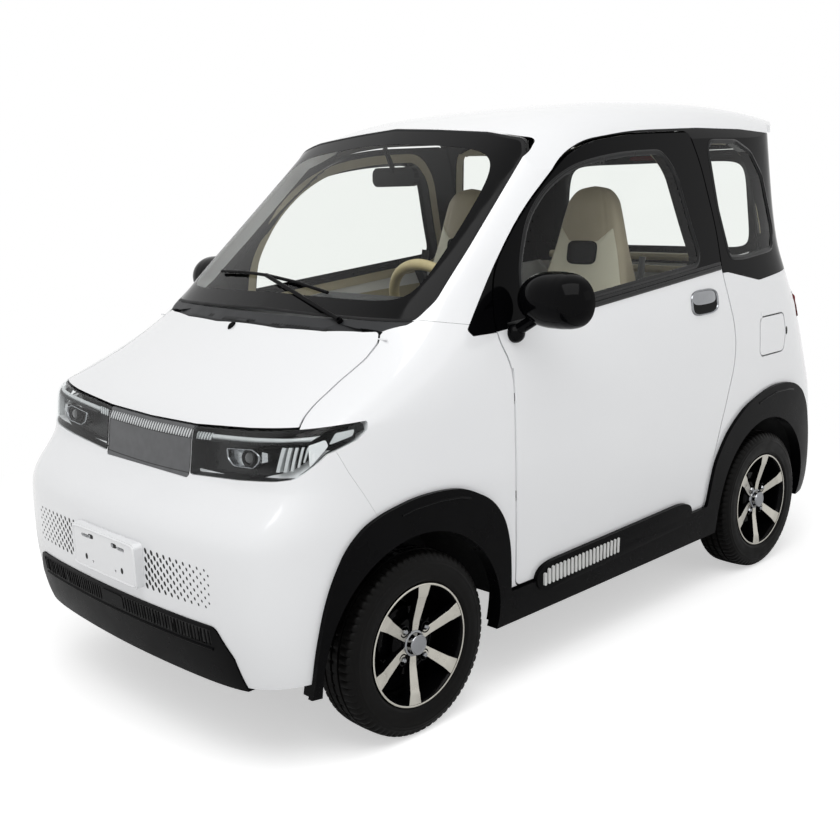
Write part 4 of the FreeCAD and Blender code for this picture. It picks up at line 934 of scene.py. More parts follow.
@dataclass
class Nose:
    """What is laid on the front bumper: the hole field, the plate holder's holes and the intake's slats."""

    field_start: float = 0.180
    field_pitch: float = 0.0137
    field_columns: int = 20
    field_rows: int = 9
    field_low: float = 0.452
    field_high: float = 0.546
    hole_lean: float = -0.35
    slat_pitch: float = 0.0135
    slat_height: float = 0.3735
    slat_half: float = 0.0195

    def hole_field(self) -> None:
        """Lays the slanted holes each side of the plate, smaller and thinner outwards, as near-black plates:
        painted shade of the holes.
        """
        skin = Skin(["front_bumper"], Look.FRONT)
        column, row = np.meshgrid(np.arange(self.field_columns), np.arange(self.field_rows), indexing="ij")
        used = (column + row) % 2 == 0
        x = self.field_start + column * self.field_pitch
        z = self.field_low + row * (self.field_high - self.field_low) / (self.field_rows - 1)
        fade = column / (self.field_columns - 1.0)
        half = np.stack([0.0052 - 0.0028 * fade, 0.0076 - 0.0046 * fade], axis=-1)[used]
        centres = np.stack([x, z], axis=-1)[used]
        shapes = [skin.studs(centres * (side, 1.0), half, THIN, lean=self.hole_lean, sides=8, corner=3.0)
                  for side in (1.0, -1.0)]
        piece("bumper_hole_field", together(shapes), SHADE_AND_SEAMS)

    def plate_holder(self) -> None:
        """Lays the raised rim of the plate holder, and its two slots and two screw holes as near-black
        plates: painted shade of the holes.
        """
        skin = Skin(["plate_bracket"], Look.FRONT)
        edge = oval((0.0, 0.5025), (0.1655, 0.060), 120, 12.0)
        piece("plate_holder_rim", skin.band(edge, grown(edge, -0.007), 0.0, steps=6, crown=0.003), PAINT)
        slots = flat([-0.062, 0.062], 0.541)
        screws = flat([-0.095, 0.095], 0.478)
        holes = skin.studs(slots, (0.0135, 0.0062), THIN, sides=16)
        round_holes = skin.studs(screws, (0.0062, 0.0085), THIN, corner=2.0, sides=20)
        piece("plate_holder_holes", together([holes, round_holes]), SHADE_AND_SEAMS)
        clips = flat([-0.066, 0.057], 0.541)
        piece("plate_clips", skin.studs(clips, (0.0052, 0.0048), 0.0014, sides=12), CHROME)

    def intake(self) -> None:
        """Lays a dark field with upright slats in the lower grille, and the rim over it; the field is painted
        shade behind the slats.
        """
        skin = Skin(["lower_grille"], Look.FRONT)
        span = np.linspace(-0.438, 0.438, 90)
        low = flat(span, 0.352 + 0.006 * np.abs(span / 0.44) ** 4)
        high = flat(span, 0.394)
        piece("intake_painted_shade", skin.band(low, high, 0.0005, steps=5, ring=False), SHADE_AND_SEAMS)
        x = np.arange(-0.432, 0.4321, self.slat_pitch)
        x = x[np.abs(x) > 0.060]
        slats = skin.studs(flat(x, self.slat_height), (0.0024, self.slat_half), 0.0030, sides=8)
        piece("intake_slats", slats, MOULDED)
        middle = flat([0.0], self.slat_height)
        plate = skin.studs(middle, (0.056, self.slat_half), 0.0030, corner=9.0, sides=48)
        piece("intake_middle", plate, MOULDED, bevel=0.001)
        rim = skin.band(flat(span, 0.346), flat(span, 0.338), 0.0, steps=7, crown=0.004, ring=False)
        piece("intake_rim", rim, MOULDED)

    def build(self) -> None:
        """Builds every piece of the nose."""
        self.hole_field()
        self.plate_holder()
        self.intake()


@dataclass
class Lamps:
    """Both headlamps and the ribbed band between them."""

    depth: float = 0.042
    wall: float = 0.002
    lens: float = 0.0045
    rib_pitch: float = 0.0122
    rib_lean: float = 0.35
    projector_middle: tuple[float, float] = (0.446, 0.806)
    bezel: tuple[tuple[float, float], ...] = ((0.357, 0.821), (0.461, 0.832), (0.492, 0.821), (0.494, 0.801),
                                              (0.472, 0.781), (0.392, 0.776), (0.365, 0.791))

    def housing(self, skin: Skin) -> None:
        """Replaces the lamp bodies by bowls: a wall behind the lens's edge and a floor inside."""
        loop = grown(outline("headlamp_lenses", Look.FRONT, 200, 1.0), -0.0012)
        points, normal = skin.drop(loop)
        inward = np.array([-0.10, 1.0, 0.0])
        middle = loop.mean(axis=0)
        back, _ = skin.drop(middle + (loop - middle) * 0.94)
        core, _ = skin.drop(middle + (loop - middle) * 0.03)
        under = inward * (self.depth + self.wall)
        over = inward * self.depth
        edge = points - normal * self.lens
        shrink = np.array([[0.012, 0.0, 0.0], [0.0, 0.0, 0.012]])
        rows = [core + under, back + under, edge, edge - (loop - middle) @ shrink, back + over, core + over]
        piece("headlamp_bowls", both(surface(np.stack(rows))), HOUSING, replaces=["headlamps"])

    def light_bar(self, skin: Skin) -> None:
        """Lays the frosted light guide along the lamp's top and the dark step under it."""
        top = even([(0.288, 0.8475), (0.391, 0.856), (0.470, 0.8635), (0.540, 0.871), (0.600, 0.8755),
                    (0.630, 0.8755)], 60, closed=False)
        low = even([(0.292, 0.8335), (0.394, 0.842), (0.470, 0.849), (0.540, 0.857), (0.596, 0.862),
                    (0.622, 0.8605)], 60, closed=False)
        bar = skin.band(top, low, -0.012, 0.020, steps=6, crown=0.003, ring=False)
        piece("lamp_light_bars", both(bar), FROST)
        under = low - (0.0, 0.0065)
        piece("lamp_steps", both(skin.band(low, under, -0.006, 0.034, steps=4, ring=False)), HOUSING)

    def projector(self, skin: Skin) -> None:
        """Builds the bezel, the bright cup in it and the round projector."""
        edge = softened(even(self.bezel, 120), 2)
        bezel = skin.band(edge, grown(edge, -0.0055), -0.009, 0.030, steps=6, crown=0.003)
        piece("lamp_bezels", both(bezel), CHROME)
        cup = grown(edge, -0.0050)
        piece("lamp_cups", both(skin.fill(cup, -0.026, 0.030, crown=-0.004)), SATIN_CHROME)
        ring = oval(self.projector_middle, (0.0255, 0.0225), 48)
        ring = skin.band(ring, grown(ring, -0.0060), -0.010, 0.026, steps=5, crown=0.002)
        piece("projector_rings", both(ring), HOUSING)
        ball = oval(self.projector_middle, (0.0195, 0.0168), 48)
        piece("projector_lenses", both(skin.fill(ball, -0.015, 0.024, rings=8, crown=0.007)), DARK_LENS)
        fin = even([(0.496, 0.828), (0.517, 0.827), (0.519, 0.806), (0.497, 0.800)], 60)
        piece("lamp_fins", both(skin.fill(fin, -0.012, 0.026)), SATIN_CHROME)

    def blades(self, skin: Skin) -> None:
        """Lays the five slanted bright blades at the lamp's outer side."""
        tops = [(0.566, 0.8465), (0.5835, 0.8475), (0.5985, 0.8475), (0.6105, 0.848), (0.6195, 0.846)]
        lows = [(0.5525, 0.786), (0.5735, 0.787), (0.5905, 0.7905), (0.6045, 0.799), (0.6145, 0.810)]
        widths = [0.0105, 0.0085, 0.0065, 0.0048, 0.0034]
        shapes = []
        for top, low, width in zip(tops, lows, widths):
            left = even([low, top], 14, closed=False)
            shapes.append(skin.band(left, left + (width, 0.0), -0.007, 0.022, 5, 0.002, ring=False))
        piece("lamp_blades", both(together(shapes)), FROST, slot="alloy")

    def corner(self) -> None:
        """Lays the pale reflector and the side marker in the lamp's swept tip."""
        skin = Skin(["headlamp_lenses"], Look.LEFT)
        wedge = softened(even([(-1.187, 0.851), (-1.146, 0.861), (-1.141, 0.844), (-1.154, 0.832),
                               (-1.189, 0.797)], 100), 2)
        piece("lamp_reflectors", both(skin.fill(wedge, -0.0052, 0.008)), FROST_WHITE)
        marker = softened(even([(-1.118, 0.874), (-1.066, 0.8755), (-1.073, 0.860), (-1.139, 0.847)], 100), 2)
        piece("lamp_markers", both(skin.fill(marker, -0.0052, 0.008)), FROST)

    def ribs(self) -> None:
        """Lays the light ribs along the band's top edge, carried on under both lenses."""
        x = np.arange(-0.2013, 0.2014, self.rib_pitch)
        top = np.interp(np.abs(x), [0.0, 0.214, 0.437], [0.851, 0.855, 0.871]) - 0.0085
        skin = Skin(["lamp_panel"], Look.FRONT)
        ribs = skin.studs(flat(x, top - 0.0115), (0.0031, 0.0115), 0.0009, lean=self.rib_lean, sides=8)
        piece("band_ribs", ribs, FROST)
        lens = Skin(["headlamp_lenses"], Look.FRONT)
        x = np.arange(0.2214, 0.285, self.rib_pitch)
        top = np.interp(x, [0.214, 0.437], [0.855, 0.871]) - 0.0095
        ribs = lens.studs(flat(x, top - 0.0115), (0.0031, 0.0110), -0.010, 0.014, self.rib_lean, sides=8)
        piece("band_ribs_in_lamps", both(ribs), FROST)
        for name, at in (("band_seam_low", 0.7285), ("band_seam_high", 0.8185)):
            span = np.linspace(-0.2085, 0.2085, 60)
            line = flat(span, at + 0.10 * span ** 2)
            piece(name, skin.band(line, line + (0.0, 0.0016), THIN, steps=3, ring=False), SHADE_AND_SEAMS)
        for name, under, at, wide in (("band_end_seals", skin, 0.2118, -0.0028),
                                      ("lens_end_seals", lens, 0.2166, 0.0030)):
            edge = flat(at, np.linspace(0.7150, 0.8480, 20))
            seal = under.band(edge, edge + (wide, 0.0), 0.0005, 0.004, steps=3, ring=False)
            piece(name, both(seal), SHADE_AND_SEAMS)

    def build(self) -> None:
        """Builds every lamp piece."""
        skin = Skin(["headlamp_lenses"], Look.FRONT)
        self.housing(skin)
        self.light_bar(skin)
        self.projector(skin)
        self.blades(skin)
        self.corner()
        self.ribs()


@dataclass
class Glazing:
    """Ceramic borders, rubber seals and belt strips of the glass."""

    screen_border: float = 0.044
    seal_width: float = 0.017

    def roof_lip(self, screen: Skin) -> Shape:
        """The roof's front lip, level across from the screen's top edge to the roof's skin.

        Args:
            screen: the windscreen's skin.

        Returns:
            A strip along x with z = h(|x|), h being the top edge, and a slight crown.
        """
        x = np.linspace(-0.44, 0.44, 89)
        z = np.interp(np.abs(x), [0.0, 0.14, 0.30, 0.381, 0.4246, 0.44],
                      [1.6191, 1.6114, 1.5990, 1.5923, 1.5849, 1.5818])
        ahead, _ = screen.drop(flat(x, z - 0.0030))
        behind, _ = Skin(["roof_panel"], Look.FRONT).drop(flat(x, z + 0.0040))
        front = ahead[:, 1] + 0.0015
        back = np.maximum(behind[:, 1] + 0.010, front + 0.004)
        section = [(front, -0.0030), (front, THIN), (0.5 * (front + back), 0.0012), (back, 0.0016),
                   (back, -0.0030)]
        return surface(np.stack([np.stack([x, y, z + lift], axis=1) for y, lift in section], axis=1))

    def screen(self) -> None:
        """Lays both screens' black borders, the windscreen's seal and the roof's lip over it."""
        skin = Skin(["windscreen"], Look.FRONT)
        edge = grown(outline("windscreen", Look.FRONT, 320), -0.0012)
        inner = softened(grown(softened(edge, 6), -self.screen_border), 9)
        piece("windscreen_border", skin.band(edge, inner, THIN, THIN / 2.0, steps=9), ENAMEL)
        seal = skin.band(grown(edge, 0.001), grown(edge, -0.006), THIN, steps=5, crown=0.0016)
        piece("windscreen_seal", seal, SEAL)
        piece("roof_front_lip", self.roof_lip(skin), PAINT)
        rear = Skin(["tailgate_glass"], Look.REAR)
        edge = grown(outline("tailgate_glass", Look.REAR, 240), -0.0012)
        inner = softened(grown(softened(edge, 4), -0.042), 7)
        piece("rear_glass_border", rear.band(edge, inner, THIN, THIN / 2.0, steps=7), ENAMEL, "tailgate")

    def doors(self) -> None:
        """Lays each door's window seal and belt strip."""
        skin = Skin(["door_left_frame", "door_left_glass"], Look.LEFT)
        edge = softened(outline("door_left_glass", Look.LEFT, 260), 2)
        seal = skin.band(grown(edge, 0.006), grown(edge, 0.006 - self.seal_width), ROOT, THIN, steps=8,
                         crown=0.0032)
        belt = Skin(["door_left_panel", "door_left_frame"], Look.LEFT)
        y = np.linspace(-0.50, 0.596, 90)
        line = flat(y, 1.0925 + 0.075 * y)
        shapes = []
        for low, high, rise, crown in ((-0.0125, 0.0035, 0.0012, 0.0046), (0.0035, 0.0145, 0.0008, 0.0030)):
            shapes.append(belt.band(line + (0.0, low), line + (0.0, high), rise, THIN, 7, crown, False))
        on_doors("window_seal", seal, SEAL_SHINE)
        on_doors("belt_strip", together(shapes), SEAL_SHINE)

    def quarters(self) -> None:
        """Lays the fixed rear side windows' seals."""
        skin = Skin(["pillar_frame", "quarter_glass"], Look.LEFT)
        edge = softened(outline("quarter_glass", Look.LEFT, 220, 1.0), 2)
        seal = skin.band(grown(edge, 0.010), grown(edge, -0.006), ROOT, THIN, steps=8, crown=0.0030)
        piece("quarter_seals", both(seal), SEAL_SHINE)

    def build(self) -> None:
        """Builds every glazing piece."""
        self.screen()
        self.doors()
        self.quarters()


@dataclass
class Doors:
    """What the doors carry outside: handles, lower garnish with slats, mirror glass."""

    slats: int = 21
    slat_from: float = -0.386
    slat_to: float = -0.032
    handle_middle: tuple[float, float] = (0.4735, 1.0290)
    handle_half: tuple[float, float] = (0.0815, 0.0430)

    def handle(self, skin: Skin) -> Shape:
        """The chrome surround with its lifting plate: an oval ring and a crowned plate in it."""
        edge = oval(self.handle_middle, self.handle_half, 90, 3.4)
        ring = skin.band(edge, grown(edge, -0.0075), 0.0005, steps=8, crown=0.0055)
        plate = skin.fill(oval((0.4735, 1.0445), (0.071, 0.0225), 80, 3.2), 0.0016, crown=0.0045, rings=7)
        return together([ring, plate])

    def garnish(self, skin: Skin) -> Shape:
        """The black plate along the door's foot, crowned, standing level with the sill cladding."""
        line = [(-0.425, 0.305), (-0.413, 0.339), (-0.369, 0.353), (0.329, 0.368), (0.388, 0.357),
                (0.403, 0.332), (0.397, 0.299), (0.338, 0.288), (-0.382, 0.263), (-0.420, 0.281)]
        return skin.fill(softened(even(line, 260), 4), 0.0145, rings=8, crown=0.0040)

    def slat_set(self, skin: Skin) -> Shape:
        """The pale upright slats let into the garnish."""
        y = np.linspace(self.slat_from, self.slat_to, self.slats)
        low = np.interp(y, [-0.39, -0.03], [0.2860, 0.2945])
        high = np.minimum(np.interp(y, [-0.39, -0.03], [0.3380, 0.3440]), 0.322 + 0.55 * (y + 0.392))
        high = np.maximum(high, low + 0.026)
        half = flat(0.0056, (high - low) / 2.0)
        return skin.studs(flat(y, (low + high) / 2.0), half, 0.0212, 0.0, corner=6.0, sides=12)

    def build(self) -> None:
        """Builds the pieces on the left door and their mirror images."""
        skin = Skin(["door_left_panel"], Look.LEFT)
        mirror = Skin(["door_left_mirror"], Look.REAR)
        edge = oval(self.handle_middle, self.handle_half, 90, 3.4)
        glass = oval((0.783, 1.135), (0.104, 0.056), 90, 3.0)
        # A gloss black sheet inside the handle's surround, under its lifting plate, stands for the shade in
        # the handle's recess: painted shade.
        on_doors("handle_recess_shade", skin.fill(grown(edge, -0.004), ROOT), PIANO)
        on_doors("handle", self.handle(skin), CHROME)
        on_doors("door_garnish", self.garnish(skin), MOULDED)
        on_doors("garnish_slats", self.slat_set(skin), PALE, bevel=0.0008)
        on_doors("mirror_glass", mirror.fill(glass, ROOT, crown=0.0010), SILVER)


@dataclass
class Mirror:
    """The outer mirrors' lacquered heads with their shut lines, on stalks and round feet."""

    middle: tuple[float, float, float] = (0.786, -0.446, 1.134)
    half_long: float = 0.124
    radius: float = 0.0768

    def head(self) -> Shape:
        """The head as rings along x.

        The ring's radius is R·(1 - |u|^p)^(1/q) with u from -1 to 1, fuller at the
        outer end, and its rear is cut flat by y = min(y, middle).
        """
        run = np.sin(np.linspace(-0.5, 0.5, 46) * math.pi)
        power = np.where(run > 0.0, 3.1, 2.5)
        size = self.radius * (1.0 - np.abs(run) ** power) ** (1.0 / np.where(run > 0.0, 2.1, 2.0))
        size = np.maximum(size, 0.0008)
        size = size - 0.0012 * np.exp(-((run - 0.30) / 0.012) ** 2)
        turn = np.linspace(0.0, TAU, 96, endpoint=False)
        x = np.broadcast_to((self.middle[0] + self.half_long * run)[:, None], (46, 96))
        y = self.middle[1] + np.minimum(size[:, None] * np.sin(turn), 0.0)
        z = self.middle[2] + size[:, None] * np.cos(turn)
        return surface(np.stack([x, y, z], axis=-1))

    def build(self) -> None:
        """Builds head, stalk and foot in place of the plain CAD mirrors."""
        path = np.linspace((0.648, -0.480, 1.036), (0.748, -0.4735, 1.094), 12)
        stalk = tube(path, 0.0165, 24)
        ring = [(-27.0, 0.0), (-25.5, 9.0), (-19.0, 19.0), (-9.0, 25.5), (0.0, 27.0), (9.0, 25.5),
                (19.0, 19.0), (25.5, 9.0), (27.0, 0.0)]
        foot = spun(ring, np.array([0.664, -0.480, 1.040]), 40, 1.0)
        on_doors("mirror_head", self.head(), PIANO, "door_{}_mirror", sharp=50.0)
        on_doors("mirror_stalk", together([stalk, foot]), PIANO, sharp=60.0)


def blunt(turn: np.ndarray, power: float) -> tuple[np.ndarray, np.ndarray]:
    """Cosine and sine with their sizes raised to a power, which squares a round section."""
    return tuple(np.sign(wave) * np.abs(wave) ** power for wave in (np.cos(turn), np.sin(turn)))


def closing(share: np.ndarray, first: float, last: float, least: float) -> np.ndarray:
    """1 along a form, falling as a quarter circle before the share first and after last, to least."""
    start = np.clip(1.0 - share / first, 0.0, 1.0)
    end = np.clip((share - last) / (1.0 - last), 0.0, 1.0)
    return np.maximum(np.sqrt(np.clip(1.0 - start ** 2, 0.0, 1.0) * np.clip(1.0 - end ** 2, 0.0, 1.0)), least)


@dataclass
class Seat:
    """One bucket seat: padded back with its head part, padded cushion, panels and guide."""

    hand: str
    middle: float = 0.290
    foot: float = 0.600
    head: float = 1.416

    @property
    def side(self) -> float:
        """1 on the left, -1 on the right."""
        return 1.0 if self.hand == "left" else -1.0

    def back_shape(self) -> Shape:
        """The back as stacked loops.

        At each height the section is x = W·cos^p a, y = Y + T·sin^p a, and its front
        side stands forward by B·|cos a|^3 as side bolsters; both ends close as a
        quarter round.
        """
        share = np.concatenate([np.linspace(0.0, 0.06, 6), np.linspace(0.09, 0.90, 22),
                                np.linspace(0.93, 1.0, 9)])
        z = self.foot + share * (self.head - self.foot)
        wide = np.interp(z, [0.60, 0.70, 0.90, 1.03, 1.10, 1.17, 1.22, 1.30, 1.36, 1.395, 1.416],
                         [0.186, 0.197, 0.201, 0.196, 0.182, 0.158, 0.141, 0.119, 0.100, 0.082, 0.062])
        thick = np.interp(z, [0.60, 1.0, 1.2, 1.416], [0.060, 0.055, 0.042, 0.034])
        lean = np.interp(z, [0.60, 0.85, 1.10, 1.416], [0.292, 0.314, 0.340, 0.372])
        bolster = np.interp(z, [0.60, 0.75, 1.0, 1.12, 1.2, 1.416],
                            [0.018, 0.030, 0.030, 0.018, 0.006, 0.004])
        close = closing(share, 0.06, 0.93, 0.03)
        turn = np.linspace(0.0, TAU, 72, endpoint=False)
        cos, sin = blunt(turn, 0.62)
        front = np.clip(-np.sin(turn), 0.0, 1.0)
        half = wide * (0.55 + 0.45 * close) * np.where(close < 0.1, 0.1, 1.0)
        x = self.side * self.middle + half[:, None] * cos
        y = lean[:, None] + (thick * close)[:, None] * sin
        y = y - bolster[:, None] * np.abs(cos)[None] ** 3 * front[None] * close[:, None]
        crown = 0.010 * np.clip(1.0 - (cos / 0.8) ** 2, 0.0, 1.0) * front
        y = y - crown[None] * close[:, None]
        groove = 0.0035 * np.exp(-((np.abs(cos) - 0.66) / 0.035) ** 2) * front
        y = y + groove[None]
        return surface(np.stack([x, y, np.broadcast_to(z[:, None], x.shape)], axis=-1))

    def cushion_shape(self) -> Shape:
        """The cushion as loops carried from front to rear, crowned, with raised side rolls.

        Section: x = W·cos^p a, z = Z + H·sin^p a + R·|cos a|^4 on the upper side.
        """
        share = np.concatenate([np.linspace(0.0, 0.08, 6), np.linspace(0.12, 0.90, 18),
                                np.linspace(0.93, 1.0, 6)])
        y = -0.190 + share * 0.470
        wide = np.interp(share, [0.0, 0.1, 0.6, 1.0], [0.186, 0.200, 0.202, 0.180])
        middle = np.interp(share, [0.0, 0.3, 1.0], [0.622, 0.618, 0.600])
        high = np.interp(share, [0.0, 0.2, 1.0], [0.062, 0.066, 0.060])
        close = closing(share, 0.08, 0.93, 0.04)
        turn = np.linspace(0.0, TAU, 64, endpoint=False)
        cos, sin = blunt(turn, 0.6)
        upper = np.clip(np.sin(turn), 0.0, 1.0)
        x = self.side * self.middle + (wide * (0.7 + 0.3 * close))[:, None] * cos
        z = middle[:, None] + (high * close)[:, None] * sin
        z = z + 0.022 * np.abs(cos)[None] ** 4 * upper[None] * close[:, None]
        z = z + 0.010 * np.clip(1.0 - (cos / 0.7) ** 2, 0.0, 1.0)[None] * upper[None] * close[:, None]
        z = z - 0.0035 * np.exp(-((np.abs(cos) - 0.62) / 0.04) ** 2)[None] * upper[None]
        return surface(np.stack([x, np.broadcast_to(y[:, None], x.shape), z], axis=-1))

    def build(self, replaces: Sequence[str]) -> None:
        """Builds the seat and lays its pale panels, guide plate and strap.

        Args:
            replaces: the CAD nodes that the seat's back stands for.
        """
        cx = self.side * self.middle
        back = piece(f"seat_back_{self.hand}", self.back_shape(), TAUPE, sharp=70.0, levels=1,
                     replaces=replaces)
        cushion = piece(f"seat_cushion_{self.hand}", self.cushion_shape(), TAUPE, sharp=70.0, levels=1)
        front = Skin([f"seat_back_{self.hand}"], Look.FRONT)
        offset = np.array([cx, 0.0])
        high = [(-0.108, 1.278), (-0.062, 1.236), (0.0, 1.226), (0.062, 1.236), (0.108, 1.278),
                (0.140, 1.170), (0.166, 1.075), (0.170, 1.020), (0.0, 1.008), (-0.170, 1.020),
                (-0.166, 1.075), (-0.140, 1.170)]
        wing = [(0.030, 1.000), (0.168, 1.010), (0.176, 0.880), (0.170, 0.720), (0.075, 0.700),
                (0.060, 0.860)]
        shapes = [front.fill(even(high, 200) + offset, 0.0016, 0.001, rings=9, crown=0.0022)]
        for side in (-1.0, 1.0):
            loop = even(np.array(wing) * np.array([side, 1.0]), 130)
            shapes.append(front.fill(loop[::int(side)] + offset, 0.0016, 0.001, rings=7, crown=0.0026))
        piece(f"seat_panels_{self.hand}", together(shapes), CREAM, sharp=70.0)
        edge = oval((cx, 1.196), (0.062, 0.040), 80, 4.5)
        frame_ring = front.band(edge, grown(edge, -0.008), 0.0045, 0.003, steps=7, crown=0.0045)
        plate = front.fill(grown(edge, -0.006), 0.0052, 0.003)
        piece(f"seat_guide_{self.hand}", together([frame_ring, plate]), PIANO)
        top = Skin([f"seat_cushion_{self.hand}"], Look.TOP)
        seat = softened(even([(-0.115, -0.150), (0.115, -0.150), (0.115, 0.210), (-0.115, 0.210)], 120), 3)
        insert = top.fill(seat + offset, 0.0016, 0.001, rings=8, crown=0.0040)
        piece(f"seat_insert_{self.hand}", insert, CREAM, sharp=70.0)
        run = np.linspace(0.0, 1.0, 26)
        x = np.full_like(run, cx + self.side * 0.221)
        strap = np.stack([x, 0.335 + 0.03 * run, 1.185 - 0.40 * run], axis=1)
        strap[:, 1] -= 0.030 * np.sin(math.pi * run)
        piece(f"belt_strap_{self.hand}", tube(strap, 0.0185, 16, 0.30), WEBBING)


@dataclass
class Cabin:
    """Seats, steering wheel cover, dashboard details, linings, rails and inner mirror."""

    rim_radius: float = 0.178
    rim_tube: float = 0.0158
    hub: tuple[float, float, float] = (0.290, -0.400, 1.056)
    tilt: float = 64.0
    pad_share: float = 0.86

    def wheel_cover(self) -> None:
        """Builds the leather cover round the steering wheel's rim, a ring in the tilted plane."""
        turn = np.linspace(0.0, TAU, 120, endpoint=False)
        down = np.array([0.0, math.cos(math.radians(self.tilt)), -math.sin(math.radians(self.tilt))])
        across = np.array([1.0, 0.0, 0.0])
        circle = np.cos(turn)[:, None] * across + np.sin(turn)[:, None] * down
        path = np.array(self.hub) + self.rim_radius * circle
        size = self.rim_tube + 0.0012 * np.clip(np.cos(4.0 * turn), 0.0, 1.0) ** 4
        piece("steering_rim_cover", tube(path, size, 20, ring=True), RIM_LEATHER, "steering_wheel")
        axle = np.cross(across, down)
        boss = np.array(self.hub)
        oblong = np.cos(turn[::2])[:, None] * across + self.pad_share * np.sin(turn[::2])[:, None] * down
        ring = [(0.062, -0.004), (0.066, 0.006), (0.060, 0.018), (0.045, 0.026), (0.0, 0.029)]
        rows = [boss - axle * high + radius * oblong for radius, high in ring]
        piece("steering_pad", surface(np.stack([rows[0] + axle * 0.02] + rows)), TRIM, "steering_wheel")

    def linings(self) -> None:
        """Lays the pale linings on the inner sides of roof, pillars and doors."""
        roof = Skin(["roof_panel"], Look.TOP)
        loop = oval((0.0, 0.47), (0.480, 0.58), 160, 7.0)
        piece("head_lining", roof.fill(loop, -0.0425, 0.0450, rings=12), LINING)
        side = Skin(["pillar_frame", "quarter_glass"], Look.LEFT)
        edge = softened(outline("quarter_glass", Look.LEFT, 200, 1.0), 2)
        trim = side.band(grown(edge, 0.045), grown(edge, 0.010), -0.0428, 0.0450, steps=6)
        piece("quarter_trims", both(trim), BEIGE)
        door = Skin(["door_left_panel"], Look.LEFT)
        card = softened(even([(-0.440, 0.380), (0.470, 0.380), (0.560, 0.620), (0.600, 0.860), (0.565, 1.060),
                              (-0.470, 1.020), (-0.480, 0.900)], 200), 4)
        panel = door.fill(card, -0.0465, 0.0490, rings=10)
        reach = np.linspace(-0.20, 0.28, 40)
        pull = door.band(flat(reach, 0.905), flat(reach, 0.865), -0.062, 0.080, crown=0.004, ring=False)
        frame_skin = Skin(["door_left_frame", "door_left_glass"], Look.LEFT)
        glass = softened(outline("door_left_glass", Look.LEFT, 240), 2)
        sash = frame_skin.band(grown(glass, 0.040), grown(glass, 0.008), -0.0465, 0.0485, steps=6)
        on_doors("door_card", panel, BEIGE)
        on_doors("door_pull", pull, TRIM, bevel=0.002)
        on_doors("door_sash_trim", sash, BEIGE)

    def fittings(self) -> None:
        """Builds the rails behind the seats, the meter screen, air vents and the mirror's glass."""
        run = np.linspace(-1.0, 1.0, 40)
        bow = 1.045 + 0.012 * (1.0 - run ** 6)
        rails = [tube(np.stack([0.4576 * run, bow, np.full(40, z)], axis=1), 0.0150, 16)
                 for z in (1.122, 1.072)]
        piece("seat_rails", together(rails), BEIGE)
        meter = Skin(["dashboard"], Look.REAR)
        screen = oval((0.150, 1.095), (0.150, 0.024), 100, 8.0)
        piece("meter_screen", meter.fill(screen, 0.0008, crown=0.0006), DARK_LENS, slot="gloss_black")
        vents = flat([-0.44, -0.20, 0.44], 1.015)
        piece("air_vents", meter.studs(vents, (0.045, 0.018), 0.002, corner=6.0, sides=40), PIANO)
        mirror = Skin(["interior_mirror"], Look.REAR)
        glass = oval((0.0, 1.470), (0.090, 0.024), 80, 5.0)
        piece("inner_mirror_glass", mirror.fill(glass, ROOT), SILVER)

    def build(self) -> None:
        """Builds the whole cabin."""
        Seat("left").build(["seats"])
        Seat("right").build([])
        self.wheel_cover()
        self.linings()
        self.fittings()


